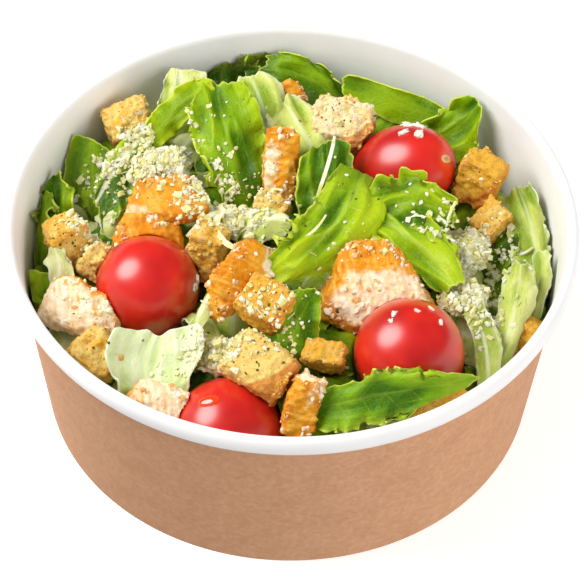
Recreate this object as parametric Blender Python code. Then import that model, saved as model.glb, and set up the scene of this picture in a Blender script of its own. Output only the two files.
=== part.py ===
# Chicken caesar salad in a round paper bowl: a heap of romaine with grated cheese,
# cherry tomatoes, sliced seared chicken and bread croutons.
# The origin is the middle of the bowl's foot, +Z is up and -Y faces the viewer.
import math
import random

import bmesh
import bpy
import numpy as np
from mathutils import Euler, Vector, noise

# Sizes and places below are in millimetres, and this turns them into metres
MM = 0.001

# Bowl
BOWL_HEIGHT = 60.0
FOOT_RADIUS = 65.0
RIM_RADIUS = 75.0
RIM_WIDTH = 3.5
RIM_DROP = 5.8
WALL = 0.8
HEM_HEIGHT = 6.0
HEM_THICKNESS = 2.0
BASE_THICKNESS = 0.8
BOWL_SEGMENTS = 60
RIM_STEPS = 7

# The roll of the rim starts below the wall's top and turns over to its inner face
RIM_START_ANGLE = -70
RIM_TURN = 250

# Gaps between pieces that touch
GAP = 0.3
GROWTH = 0.4

# Points closer than this, in metres, are one point, and faces that turn by less than
# this, in degrees, are one flat face
SAME_POINT = 0.000002
FLATNESS = 1.0

# Pieces whose boxes come within this, in metres, can touch
REACH = 0.001

# Heap of romaine: level at the wall, rise to the middle, rise to the back, bumps
HEAP_EDGE_LEVEL = 33.0
HEAP_RISE = 9.0
HEAP_BACK_RISE = 3.0
HEAP_BUMP = 1.6
HEAP_BUMP_LENGTH = 14.0
HEAP_SEGMENTS = 36
HEAP_RINGS = 8

# Leaves
LEAF_THICKNESS = 0.8
LEAF_ROW_LENGTH = 6.0
LEAF_COLUMN_WIDTH = 6.5
LEAF_TUCK = 11.0
LEAF_WALL_GAP = 1.3
LEAF_FULLNESS = 0.36
FRILL_WAVES = 2.2

# Each leaf: root, middle, tip, left edge, right edge, depth of its frill
LEAVES = (
    ((-55, 24, 37), (-54, 32, 43), (-53, 40, 47), (-62, 35, 43), (-46, 28, 44), 0.5),
    ((-65, -4, 33), (-66, 10, 40), (-66, 20, 46), (-68, 11, 38), (-61, 9, 43), 1.6),
    ((-62, 12, 38), (-63, 18, 46), (-63, 25, 50), (-69, 18, 46), (-57, 15, 45), 1.8),
    ((-38, 37, 55), (-48, 25, 51), (-55, 13, 44), (-52, 26, 49), (-41, 17, 47), 1.4),
    ((-38, 34, 52), (-31, 42, 58), (-23, 50, 61), (-35, 45, 58), (-25, 39, 53), 1.2),
    ((-11, 18, 49), (-17, 30, 58), (-21, 50, 61), (-27, 29, 56), (-9, 39, 57), 1.5),
    ((-33, 46, 47), (-31, 53, 53), (-31, 59, 56), (-36, 53, 52), (-23, 54, 53), 0.6),
    ((-19, 58, 43), (-20, 65, 48), (-20, 69, 51), (-28, 63, 47), (-11, 67, 48), 1.4),
    ((-7, 62, 44), (-8, 68, 49), (-8, 70, 53), (-14, 68, 48), (-1, 69, 48), 1.4),
    ((-8, 33, 53), (-8, 45, 55), (-12, 57, 56), (-15, 44, 54), (0, 47, 54), 0.5),
    ((7, 29, 53), (2, 39, 54), (-3, 50, 54), (-5, 36, 53), (6, 45, 53), 0.5),
    ((14, 58, 45), (3, 63, 50), (-9, 66, 51), (2, 55, 45), (3, 68, 53), 1.4),
    ((41, 51, 47), (27, 57, 50), (13, 62, 52), (26, 52, 46), (28, 61, 53), 0.6),
    ((37, 45, 44), (45, 46, 50), (50, 48, 57), (39, 50, 50), (47, 38, 46), 1.2),
    ((8, 11, 51), (9, 20, 56), (9, 31, 58), (1, 18, 55), (16, 24, 56), 1.0),
    ((18, 4, 53), (30, 9, 58), (42, 6, 55), (29, 17, 61), (33, -1, 54), 1.8),
    ((20, 21, 58), (10, -2, 60), (-3, -16, 55), (4, 3, 60), (16, -5, 54), 1.1),
    ((20, 8, 54), (32, -2, 54), (43, -14, 50), (37, 6, 54), (27, -7, 51), 1.0),
    ((62, -4, 41), (62, 11, 47), (59, 23, 51), (66, 13, 46), (55, 9, 46), 1.6),
    ((54, -31, 41), (58, -18, 47), (60, -4, 50), (54, -15, 46), (63, -14, 46), 0.7),
    ((62, -16, 38), (65, -6, 44), (66, 2, 48), (62, -4, 42), (68, -7, 45), 0.6),
    ((51, -41, 42), (50, -27, 47), (45, -14, 50), (47, -27, 46), (54, -26, 46), 0.8),
    ((8, -52, 44), (24.5, -51.5, 52), (43, -43, 50), (25, -42, 57), (28, -58, 44), 1.5),
    ((-35, -44, 42), (-35, -38, 43), (-33, -32, 46), (-46, -37, 49), (-21, -36, 50), 0.9),
    ((2, -36, 49), (1, -29, 54), (4, -21, 57), (-7, -28, 53), (8, -27, 52), 1.2),
    ((-12, 3, 50), (-7, 6, 53), (0, 5, 54), (-9, 10, 53), (-6, 1, 51), 0.5),
    ((-25, -29, 47), (-21, -21, 52), (-18, -14, 54), (-23, -19, 51), (-19, -22, 51), 0.3),
    ((-60, -12, 41), (-60, -6, 46), (-62, -1, 49), (-63, -8, 45), (-56, -7, 45), 0.3),
    ((-65, -14, 35), (-65, -9, 40), (-65, -5, 44), (-67, -8, 39), (-61, -10, 41), 0.6),
    ((50, 2, 38), (55, 6, 43), (60, 9, 46), (54, 11, 43), (58, 1, 41), 0.9),
)

# Grated cheese: middle, size across, depth and height of each drift of it
CHEESE_DRIFTS = (
    ((-35, 26, 51), (18, 13, 7)),
    ((-16, 8, 49), (14, 10, 6)),
    ((46, 2, 46), (18, 12, 7)),
    ((45, -14, 46), (11, 14, 6)),
    ((-17, -35, 45), (12, 11, 7)),
    ((-54, 4, 42), (8, 8, 5)),
)
DRIFT_TURN = 20
SHREDS_PER_DRIFT = 7
SHRED_LENGTH = 4.5
SHRED_WIDTH = 1.1
CHEESE_SEED = 11

# Cherry tomatoes: middle, half length, half width, direction of the stalk end,
# and flakes of cheese stuck to the skin as directions from the middle
TOMATOES = (
    ((-37, -10, 44), 13.8, 13.5, (0.3, 0.6, -0.7),
     ((0.9, -0.25, 0.3), (0.95, -0.05, 0.3), (-0.8, -0.4, 0.1))),
    ((30, 31, 48), 15.2, 11.8, (0.75, -0.30, 0.59),
     ((0.05, 0.45, 0.85), (0.28, 0.35, 0.88), (-0.05, 0.1, 0.98), (0.25, 0.0, 0.95), (0.15, -0.75, 0.4))),
    ((31, -32, 45), 14.8, 14.2, (-0.2, 0.7, -0.6),
     ((0.1, 0.15, 0.97), (0.35, 0.3, 0.88), (-0.3, 0.1, 0.93), (0.5, 0.0, 0.83), (-0.35, -0.05, 0.9))),
    ((-15, -50.5, 34), 14.6, 14.2, (0.4, 0.6, -0.6), ()),
)
TOMATO_SEGMENTS = 16
TOMATO_RINGS = 9
DIMPLE_DEPTH = 0.05
DIMPLE_REACH = 0.35
FLAKE_SIZE = (2.2, 1.5, 0.9)
FLAKE_SEED = 5

# Seared chicken: middle, size, turn in degrees about X, Y and Z, bend across its
# length, how much narrower its far side is, and how far that side leans over along X
CHICKEN = (
    ((-33, 12, 53), (24, 13, 6.5), (24, -6, 8), 0.14, 0.3, 0.0),
    ((-37, 4, 50), (20, 11, 6), (40, 6, 4), 0.16, 0.2, 0.0),
    ((-3, 25, 54), (9.5, 7, 20), (-48, 8, 4), 0.05, 0.0, 0.0),
    ((-13, -14, 54), (31, 13, 6.5), (42, -6, 52), 0.35, 0.5, 0.0),
    ((-53, -19, 44), (23, 14, 9), (22, 14, -20), 0.10, 0.1, 0.0),
    ((27, -13, 47), (41, 25, 14), (38, 6, -8), 0.12, 0.66, -8.0),
    ((4, -50, 45), (9, 8, 17), (-30, 12, -8), 0.04, 0.0, 0.0),
    ((-32, -47, 42), (18, 9, 7), (25, 6, -14), 0.10, 0.1, 0.0),
    ((-1, 55, 50), (8, 5, 9), (-35, -10, 20), 0.0, 0.0, 0.0),
)

# Croutons: middle, size and turn in degrees about X, Y and Z
CROUTONS = (
    ((-44, 44, 50), (13, 12, 10), (24, -12, 18)),
    ((-58, 3, 45), (11.5, 10, 17), (-20, -6, 24)),
    ((-50, -3, 46), (9, 8, 10), (-20, 24, -30)),
    ((-22, -1, 49), (10, 10, 14), (-14, 8, -22)),
    ((13, 43, 51), (17, 14, 13), (12, 6, -14)),
    ((50, 25, 51), (12, 9, 14.5), (-10, 12, -24)),
    ((53, 14, 46), (10, 9, 9), (8, -22, 40)),
    ((-5, 11, 53), (9, 7, 6), (28, 14, -34)),
    ((-6, -25, 55), (14, 12, 10), (20, 14, -28)),
    ((-7, -41, 49), (18, 14, 12), (26, 18, -30)),
    ((-49, -33, 43), (13, 12, 11), (16, 22, -34)),
    ((9, -35, 47), (12, 7, 7), (14, 6, -8)),
    ((37, -49, 41), (22, 8, 7), (34, 0, 28)),
    ((62, -21, 39), (9, 8, 11), (6, 30, 44)),
)

# How square and how rough the chicken and the croutons are, and where the croutons'
# roughness starts
CHICKEN_SQUARENESS = 5.0
CHICKEN_ROUGHNESS = 0.22
CROUTON_SQUARENESS = 7.0
CROUTON_ROUGHNESS = 0.16
CROUTON_SEED = 20

# Chicken longer than this gets more faces, and croutons up to this long get fewer
LARGE_PIECE = 20
SMALL_PIECE = 11

# Colours from the photo
PAPER_WHITE = (0.80, 0.79, 0.76)
KRAFT = (0.49, 0.27, 0.15)
ROMAINE_GREEN = (0.22, 0.42, 0.04)
TOMATO_RED = (0.60, 0.03, 0.015)
CHICKEN_TAN = (0.72, 0.34, 0.12)
CROUTON_GOLD = (0.74, 0.45, 0.14)


def clear_scene():
    for obj in list(bpy.data.objects):
        bpy.data.objects.remove(obj, do_unlink=True)


def make_material(name, colour, roughness):
    material = bpy.data.materials.new(name)
    material.use_nodes = True
    shader = material.node_tree.nodes["Principled BSDF"]
    shader.inputs["Base Color"].default_value = (*colour, 1.0)
    shader.inputs["Roughness"].default_value = roughness
    shader.inputs["Metallic"].default_value = 0.0
    return material


def make_object(name, points, faces, material=None):
    """A mesh object from points in millimetres, with its faces turned outwards."""
    mesh = bpy.data.meshes.new(name)
    mesh.from_pydata([Vector(p) * MM for p in points], [], faces)
    obj = bpy.data.objects.new(name, mesh)
    bpy.context.scene.collection.objects.link(obj)
    if material:
        mesh.materials.append(material)
    tidy_mesh(mesh)
    return obj


def tidy_mesh(mesh):
    bm = bmesh.new()
    bm.from_mesh(mesh)
    bmesh.ops.remove_doubles(bm, verts=bm.verts, dist=SAME_POINT)
    bmesh.ops.dissolve_degenerate(bm, edges=bm.edges, dist=SAME_POINT)
    bmesh.ops.dissolve_limit(bm, angle_limit=math.radians(FLATNESS), verts=bm.verts, edges=bm.edges)
    bmesh.ops.triangulate(bm, faces=bm.faces)
    bmesh.ops.recalc_face_normals(bm, faces=bm.faces)
    bm.to_mesh(mesh)
    bm.free()


def place(obj, middle, turn=(0, 0, 0)):
    obj.location = Vector(middle) * MM
    obj.rotation_euler = Euler([math.radians(a) for a in turn])


def wall_radius(z):
    """Radius of the bowl's inner wall at a height."""
    return FOOT_RADIUS - WALL + (RIM_RADIUS - RIM_WIDTH - FOOT_RADIUS + WALL) * z / BOWL_HEIGHT


def turned(name, profile, material):
    """A closed profile of radius and height, turned round the upright axis."""
    points = []
    for step in range(BOWL_SEGMENTS):
        angle = 2 * math.pi * step / BOWL_SEGMENTS
        points += [(r * math.cos(angle), r * math.sin(angle), z) for r, z in profile]
    count = len(profile)
    faces = []
    for step in range(BOWL_SEGMENTS):
        here = step * count
        there = (step + 1) % BOWL_SEGMENTS * count
        for i in range(count):
            j = (i + 1) % count
            faces.append((here + i, there + i, there + j, here + j))
    obj = make_object(name, points, faces, material)
    obj.data.shade_smooth()
    obj.data.set_sharp_from_angle(angle=math.radians(40))
    return obj


def make_bowl_wall(material):
    """The wall, its turned-in hem at the foot and its rolled rim."""
    outer_top = wall_radius(BOWL_HEIGHT - RIM_DROP) + WALL
    rim_middle = RIM_RADIUS - RIM_WIDTH / 2
    rim_half_height = RIM_DROP / 2
    profile = [(FOOT_RADIUS, 0), (outer_top, BOWL_HEIGHT - RIM_DROP)]
    for step in range(RIM_STEPS + 1):
        angle = math.radians(RIM_START_ANGLE + RIM_TURN * step / RIM_STEPS)
        profile.append((
            rim_middle + RIM_WIDTH / 2 * math.cos(angle),
            BOWL_HEIGHT - rim_half_height + rim_half_height * math.sin(angle),
        ))
    profile.append((wall_radius(HEM_HEIGHT), HEM_HEIGHT))
    profile.append((FOOT_RADIUS - HEM_THICKNESS, HEM_HEIGHT))
    profile.append((FOOT_RADIUS - HEM_THICKNESS, 0))
    return turned("bowl_wall", profile, material)


def make_bowl_base(material):
    """The disc that rests on the hem."""
    low = HEM_HEIGHT + GAP
    high = low + BASE_THICKNESS
    radius = wall_radius(low) - GAP
    angles = [2 * math.pi * step / BOWL_SEGMENTS for step in range(BOWL_SEGMENTS)]
    ring = [(radius * math.cos(a), radius * math.sin(a)) for a in angles]
    points = [(x, y, low) for x, y in ring] + [(x, y, high) for x, y in ring]
    count = BOWL_SEGMENTS
    faces = [tuple(range(count)), tuple(range(count, 2 * count))]
    faces += [(i, (i + 1) % count, count + (i + 1) % count, count + i) for i in range(count)]
    return make_object("bowl_base", points, faces, material)


def heap_level(x, y):
    """Height of the bare heap above a place in the bowl."""
    share = min(1.0, math.hypot(x, y) / wall_radius(HEAP_EDGE_LEVEL))
    bump = noise.noise(Vector((x, y, 7.0)) / HEAP_BUMP_LENGTH)
    level = HEAP_EDGE_LEVEL + HEAP_RISE * (1 - share ** 2) + HEAP_BACK_RISE * y / FOOT_RADIUS
    return level + HEAP_BUMP * bump * 2


def make_heap_core(material):
    low = HEM_HEIGHT + GAP + BASE_THICKNESS + GAP
    points = [(0, 0, low)]
    points += ring_points(wall_radius(low) - 2 * GAP, lambda x, y: low)
    for ring in range(HEAP_RINGS):
        share = 1 - ring / HEAP_RINGS
        radius = (wall_radius(HEAP_EDGE_LEVEL) - 3 * GAP) * share
        points += ring_points(radius, heap_level)
    points.append((0, 0, heap_level(0, 0)))
    faces = []
    count = HEAP_SEGMENTS
    for i in range(count):
        j = (i + 1) % count
        faces.append((0, 1 + i, 1 + j))
        for ring in range(HEAP_RINGS):
            a = 1 + ring * count
            faces.append((a + i, a + j, a + count + j, a + count + i))
        faces.append((1 + HEAP_RINGS * count + i, 1 + HEAP_RINGS * count + j, len(points) - 1))
    return make_object("lettuce_heap", points, faces, material)


def ring_points(radius, level):
    angles = [2 * math.pi * step / HEAP_SEGMENTS for step in range(HEAP_SEGMENTS)]
    ring = [(radius * math.cos(a), radius * math.sin(a)) for a in angles]
    return [(x, y, level(x, y)) for x, y in ring]


def inside_bowl(point, gap):
    """Moves a point in from the wall, as a leaf is pressed against it."""
    reach = math.hypot(point[0], point[1])
    limit = wall_radius(point[2]) - gap
    if reach > limit:
        point[:2] *= limit / reach
    return point


def clear_of_tomatoes(point, gap):
    for middle, half_length, half_width, _, _ in TOMATOES:
        offset = point - np.array(middle, float)
        limit = max(half_length, half_width) + gap
        distance = np.linalg.norm(offset)
        if distance < limit:
            point = np.array(middle, float) + offset * limit / max(distance, 0.001)
    return point


def leaf_sheet(root, middle, tip, left, right, frill, rows, columns):
    """Points of a leaf's middle surface and the direction across its thickness."""
    root, middle, tip, left, right = (np.array(p, float) for p in (root, middle, tip, left, right))
    control = 2 * middle - (root + tip) / 2
    spread = (right - left) / 2
    cup = (left + right) / 2 - middle
    phase = root[0] * 0.37 + tip[1] * 0.21
    across = np.cross(tip - root, spread)
    across = across / np.linalg.norm(across)
    tuck = root - 0.3 * (middle - root) - np.array((0, 0, LEAF_TUCK))
    sheet = []
    for row in range(rows + 1):
        s = max(0.0, (row - 1) / (rows - 1))
        spine = (1 - s) ** 2 * root + 2 * s * (1 - s) * control + s ** 2 * tip
        if row == 0:
            spine = tuck
        width = math.sin(math.pi * (0.15 + 0.75 * s)) ** LEAF_FULLNESS
        for column in range(columns + 1):
            t = 2 * column / columns - 1
            wave = math.sin(2 * math.pi * FRILL_WAVES * s + phase + (1.9 if t > 0 else 0))
            point = spine + width * (spread * t + cup * t * t)
            point = point + across * frill * abs(t) ** 1.5 * wave
            point = clear_of_tomatoes(point, LEAF_THICKNESS)
            sheet.append(inside_bowl(point, LEAF_WALL_GAP))
    return np.array(sheet).reshape(rows + 1, columns + 1, 3)


def sheet_solid(name, sheet, thickness):
    """A thin closed solid round a grid of points, both faces split alike."""
    rows, columns = sheet.shape[0] - 1, sheet.shape[1] - 1
    along = np.gradient(sheet, axis=0)
    over = np.gradient(sheet, axis=1)
    normal = np.cross(along, over)
    normal /= np.maximum(np.linalg.norm(normal, axis=2, keepdims=True), 1e-9)
    top = (sheet + normal * thickness / 2).reshape(-1, 3)
    bottom = (sheet - normal * thickness / 2).reshape(-1, 3)
    shift = len(top)
    wide = columns + 1
    faces = []
    for r in range(rows):
        for c in range(columns):
            a, b, d, e = r * wide + c, r * wide + c + 1, (r + 1) * wide + c + 1, (r + 1) * wide + c
            faces += [(a, b, d), (a, d, e)]
            faces += [(shift + d, shift + b, shift + a), (shift + e, shift + d, shift + a)]
    edge = [(0, c) for c in range(columns)] + [(r, columns) for r in range(rows)]
    edge += [(rows, c) for c in range(columns, 0, -1)] + [(r, 0) for r in range(rows, 0, -1)]
    ring = [r * wide + c for r, c in edge]
    for i, a in enumerate(ring):
        b = ring[(i + 1) % len(ring)]
        faces += [(a, shift + a, shift + b), (a, shift + b, b)]
    return make_object(name, np.vstack((top, bottom)), faces)


def make_leaves():
    leaves = []
    for number, (root, middle, tip, left, right, frill) in enumerate(LEAVES, 1):
        rows = max(3, round(math.dist(root, tip) / LEAF_ROW_LENGTH) + 1)
        columns = max(2, round(math.dist(left, right) / LEAF_COLUMN_WIDTH))
        sheet = leaf_sheet(root, middle, tip, left, right, frill, rows, columns)
        leaves.append(sheet_solid("leaf_%02d" % number, sheet, LEAF_THICKNESS))
    return leaves


def make_cheese():
    """Drifts of grated cheese: a lumpy mound with shreds lying over it."""
    draw = random.Random(CHEESE_SEED)
    pieces = []
    for number, (middle, size) in enumerate(CHEESE_DRIFTS, 1):
        mound = make_mound("cheese_%d" % number, size, number)
        place(mound, middle, (0, 0, DRIFT_TURN * number))
        pieces.append(mound)
        for shred_number in range(SHREDS_PER_DRIFT):
            angle = draw.uniform(0, 2 * math.pi)
            reach = draw.uniform(0.1, 0.9)
            x = reach * math.cos(angle) * size[0] / 2
            y = reach * math.sin(angle) * size[1] / 2
            z = size[2] / 2 * math.sqrt(1 - reach ** 2) + 0.1
            shred = make_shred("shred_%d_%d" % (number, shred_number), draw)
            spot = Vector((x, y, z))
            spot.rotate(Euler((0, 0, math.radians(DRIFT_TURN * number))))
            place(shred, Vector(middle) + spot)
            shred.rotation_euler = (draw.uniform(-0.5, 0.5), draw.uniform(-0.5, 0.5), draw.uniform(0, 3.1))
            pieces.append(shred)
    return pieces


def make_mound(name, size, seed):
    bm = bmesh.new()
    bmesh.ops.create_icosphere(bm, subdivisions=2, radius=0.5)
    for vert in bm.verts:
        swell = 1 + 0.25 * noise.noise(vert.co * 3 + Vector((seed * 5.0, 0, 0)))
        vert.co = Vector([vert.co[i] * size[i] * swell for i in range(3)])
    points = [tuple(vert.co) for vert in bm.verts]
    faces = [tuple(vert.index for vert in face.verts) for face in bm.faces]
    bm.free()
    return make_object(name, points, faces)


def make_shred(name, draw):
    length = SHRED_LENGTH * draw.uniform(0.7, 1.3)
    half = SHRED_WIDTH / 2
    droop = draw.uniform(0.2, 0.8)
    points = []
    for step in range(3):
        x = length * (step / 2 - 0.5)
        z = -droop * (step - 1) ** 2
        points += [(x, -half, z - half), (x, half, z - half), (x, half, z + half), (x, -half, z + half)]
    faces = [(0, 1, 2, 3), (8, 9, 10, 11)]
    for step in range(2):
        a = 4 * step
        faces += [(a + i, a + (i + 1) % 4, a + 4 + (i + 1) % 4, a + 4 + i) for i in range(4)]
    return make_object(name, points, faces)


def combine(obj, others, operation):
    """Joins or cuts an object with a collection of others, and removes the others."""
    group = bpy.data.collections.new("operands")
    bpy.context.scene.collection.children.link(group)
    for other in others:
        bpy.context.scene.collection.objects.unlink(other)
        group.objects.link(other)
    boolean = obj.modifiers.new("join", "BOOLEAN")
    boolean.operation = operation
    boolean.solver = "EXACT"
    boolean.operand_type = "COLLECTION"
    boolean.collection = group
    depsgraph = bpy.context.evaluated_depsgraph_get()
    mesh = bpy.data.meshes.new_from_object(obj.evaluated_get(depsgraph))
    obj.modifiers.remove(boolean)
    old = obj.data
    obj.data = mesh
    mesh.name = obj.name
    bpy.data.meshes.remove(old)
    for other in list(group.objects):
        bpy.data.objects.remove(other, do_unlink=True)
    bpy.data.collections.remove(group)
    keep_main_body(mesh)


def keep_main_body(mesh):
    """Drops loose scraps and fills sealed hollows: only the largest shell stays."""
    tidy_mesh(mesh)
    bm = bmesh.new()
    bm.from_mesh(mesh)
    left = set(bm.faces)
    shells = []
    while left:
        front = [left.pop()]
        shell = set(front)
        while front:
            for edge in front.pop().edges:
                if len(edge.link_faces) == 2:
                    fresh = [face for face in edge.link_faces if face not in shell]
                    shell.update(fresh)
                    front += fresh
        left -= shell
        shells.append(shell)
    shells.sort(key=span, reverse=True)
    for shell in shells[1:]:
        bmesh.ops.delete(bm, geom=list(shell), context="FACES")
    bm.to_mesh(mesh)
    bm.free()


def span(shell):
    """Length of the diagonal of the box round some faces."""
    points = np.array([vert.co for face in shell for vert in face.verts])
    return float(np.linalg.norm(points.max(axis=0) - points.min(axis=0)))


def grown_copy(obj, name):
    """A copy of an object whose surface stands out by the growth."""
    copy = obj.copy()
    copy.data = obj.data.copy()
    copy.name = name
    bpy.context.scene.collection.objects.link(copy)
    normals = [vert.normal.copy() for vert in copy.data.vertices]
    for vert, normal in zip(copy.data.vertices, normals):
        vert.co += normal * GROWTH * MM
    return copy


def near(first, second):
    bpy.context.view_layer.update()
    low_a, high_a = world_box(first)
    low_b, high_b = world_box(second)
    return all(low_a[i] < high_b[i] + REACH and low_b[i] < high_a[i] + REACH for i in range(3))


def world_box(obj):
    corners = [obj.matrix_world @ Vector(corner) for corner in obj.bound_box]
    low = [min(corner[i] for corner in corners) for i in range(3)]
    high = [max(corner[i] for corner in corners) for i in range(3)]
    return low, high


def lean_on_wall(obj):
    """Flattens a piece where it would press into the bowl's wall."""
    bpy.context.view_layer.update()
    back = obj.matrix_world.inverted()
    for vert in obj.data.vertices:
        point = np.array(obj.matrix_world @ vert.co) / MM
        vert.co = back @ Vector(inside_bowl(point, 2 * GAP) * MM)


def make_room(obj, settled):
    """Cuts a piece back where it would press into pieces that lie there already."""
    cutters = [grown_copy(other, "room_" + other.name) for other in settled if near(obj, other)]
    if cutters:
        combine(obj, cutters, "DIFFERENCE")


def make_tomato(name, half_length, half_width, material):
    """A cherry tomato, long along its own Z, with a dimple at the stalk end."""
    points = [(0, 0, half_length * (1 - DIMPLE_DEPTH))]
    for ring in range(1, TOMATO_RINGS):
        polar = math.pi * ring / TOMATO_RINGS
        dimple = 1 - DIMPLE_DEPTH * math.exp(-(polar / DIMPLE_REACH) ** 2)
        height = half_length * dimple * math.cos(polar)
        for step in range(TOMATO_SEGMENTS):
            angle = 2 * math.pi * step / TOMATO_SEGMENTS
            reach = half_width * math.sin(polar)
            points.append((reach * math.cos(angle), reach * math.sin(angle), height))
    points.append((0, 0, -half_length))
    faces = []
    last = len(points) - 1
    for step in range(TOMATO_SEGMENTS):
        after = (step + 1) % TOMATO_SEGMENTS
        faces.append((0, 1 + step, 1 + after))
        for ring in range(TOMATO_RINGS - 2):
            a = 1 + ring * TOMATO_SEGMENTS
            b = a + TOMATO_SEGMENTS
            faces.append((a + step, b + step, b + after, a + after))
        a = 1 + (TOMATO_RINGS - 2) * TOMATO_SEGMENTS
        faces.append((last, a + after, a + step))
    tomato = make_object(name, points, faces, material)
    tomato.data.shade_smooth()
    return tomato


def make_flake(name, draw):
    half = [size * draw.uniform(0.35, 0.6) for size in FLAKE_SIZE]
    points = [
        (x * half[0] * draw.uniform(0.7, 1), y * half[1] * draw.uniform(0.7, 1), z * half[2])
        for x in (-1, 1) for y in (-1, 1) for z in (-1, 1)
    ]
    faces = [(0, 1, 3, 2), (4, 6, 7, 5), (0, 4, 5, 1), (2, 3, 7, 6), (0, 2, 6, 4), (1, 5, 7, 3)]
    return make_object(name, points, faces)


def make_tomatoes(material):
    draw = random.Random(FLAKE_SEED)
    tomatoes = []
    for number, (middle, half_length, half_width, axis, flakes) in enumerate(TOMATOES, 1):
        tomato = make_tomato("tomato_%d" % number, half_length, half_width, material)
        place(tomato, middle)
        turn = Vector(axis).to_track_quat("Z", "Y")
        tomato.rotation_euler = turn.to_euler()
        pieces = []
        for flake_number, direction in enumerate(flakes, 1):
            toward = turn.inverted() @ Vector(direction).normalized()
            scale = math.hypot(toward.x / half_width, toward.y / half_width, toward.z / half_length)
            flake = make_flake("flake_%d_%d" % (number, flake_number), draw)
            place(flake, Vector(middle) + Vector(direction).normalized() * (1 / scale + 0.1))
            flake.rotation_euler = Vector(direction).to_track_quat("Z", "Y").to_euler()
            pieces.append(flake)
        if pieces:
            combine(tomato, pieces, "UNION")
        tomatoes.append(tomato)
    return tomatoes


def make_chunk(name, size, cuts, squareness, roughness, bend, taper, lean, seed, material):
    """A rough block: square or rounded off, bent along X, narrower and shifted towards +Y."""
    bm = bmesh.new()
    bmesh.ops.create_cube(bm, size=2)
    bmesh.ops.subdivide_edges(bm, edges=bm.edges, cuts=cuts, use_grid_fill=True)
    for vert in bm.verts:
        direction = Vector(vert.co)
        power = sum(abs(c) ** squareness for c in direction) ** (1 / squareness)
        unit = direction / power
        rough = 1 + roughness * noise.noise(unit * 1.6 + Vector((seed * 3.1, seed * 1.7, 0)))
        point = Vector([unit[i] * size[i] / 2 * rough for i in range(3)])
        far = point.y / size[1] + 0.5
        point.x = point.x * (1 - taper * far) + lean * far
        point.z += bend * (size[0] / 4 - point.x ** 2 / size[0] * 2)
        vert.co = point
    points = [tuple(vert.co) for vert in bm.verts]
    faces = [tuple(vert.index for vert in face.verts) for face in bm.faces]
    bm.free()
    return make_object(name, points, faces, material)


def make_chicken(settled, material):
    for number, (middle, size, turn, bend, taper, lean) in enumerate(CHICKEN, 1):
        cuts = 3 if max(size) > LARGE_PIECE else 2
        piece = make_chunk("chicken_%d" % number, size, cuts, CHICKEN_SQUARENESS, CHICKEN_ROUGHNESS,
                           bend, taper, lean, number, material)
        place(piece, middle, turn)
        lean_on_wall(piece)
        make_room(piece, settled)
        settled.append(piece)


def make_croutons(settled, material):
    for number, (middle, size, turn) in enumerate(CROUTONS, 1):
        cuts = 2 if max(size) > SMALL_PIECE else 1
        piece = make_chunk("crouton_%02d" % number, size, cuts, CROUTON_SQUARENESS, CROUTON_ROUGHNESS,
                           0.0, 0.0, 0.0, number + CROUTON_SEED, material)
        place(piece, middle, turn)
        lean_on_wall(piece)
        make_room(piece, settled)
        settled.append(piece)


def build():
    clear_scene()
    make_bowl_wall(make_material("kraft_paper", KRAFT, 0.8))
    make_bowl_base(make_material("white_paper", PAPER_WHITE, 0.5))
    toppings = make_tomatoes(make_material("tomato_skin", TOMATO_RED, 0.15))
    make_chicken(toppings, make_material("seared_chicken", CHICKEN_TAN, 0.6))
    make_croutons(toppings, make_material("toasted_bread", CROUTON_GOLD, 0.7))
    heap = make_heap_core(make_material("romaine", ROMAINE_GREEN, 0.4))
    combine(heap, make_leaves() + make_cheese(), "UNION")
    make_room(heap, toppings)


build()
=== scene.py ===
import math
import random
from collections import namedtuple

import bmesh
import bpy
import numpy as np
from mathutils import Euler, Matrix, Vector, noise
from mathutils.bvhtree import BVHTree


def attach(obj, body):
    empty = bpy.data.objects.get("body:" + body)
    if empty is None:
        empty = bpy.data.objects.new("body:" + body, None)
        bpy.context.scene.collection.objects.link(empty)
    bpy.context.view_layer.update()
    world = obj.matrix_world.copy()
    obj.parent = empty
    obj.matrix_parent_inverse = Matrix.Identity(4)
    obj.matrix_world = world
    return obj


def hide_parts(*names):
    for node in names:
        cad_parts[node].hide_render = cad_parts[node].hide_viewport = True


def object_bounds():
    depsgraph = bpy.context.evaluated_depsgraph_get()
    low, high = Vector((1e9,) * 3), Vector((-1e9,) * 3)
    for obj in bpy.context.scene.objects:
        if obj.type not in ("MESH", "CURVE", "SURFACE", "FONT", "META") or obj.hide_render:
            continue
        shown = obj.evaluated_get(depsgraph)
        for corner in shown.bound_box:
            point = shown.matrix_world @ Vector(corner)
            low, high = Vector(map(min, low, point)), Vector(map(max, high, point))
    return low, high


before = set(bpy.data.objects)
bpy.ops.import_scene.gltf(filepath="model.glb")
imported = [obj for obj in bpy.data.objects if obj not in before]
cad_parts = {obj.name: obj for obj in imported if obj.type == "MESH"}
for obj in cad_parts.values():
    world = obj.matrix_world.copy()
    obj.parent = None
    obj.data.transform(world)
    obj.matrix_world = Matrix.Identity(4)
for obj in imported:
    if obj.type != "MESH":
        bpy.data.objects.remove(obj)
cad_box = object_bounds()


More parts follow.
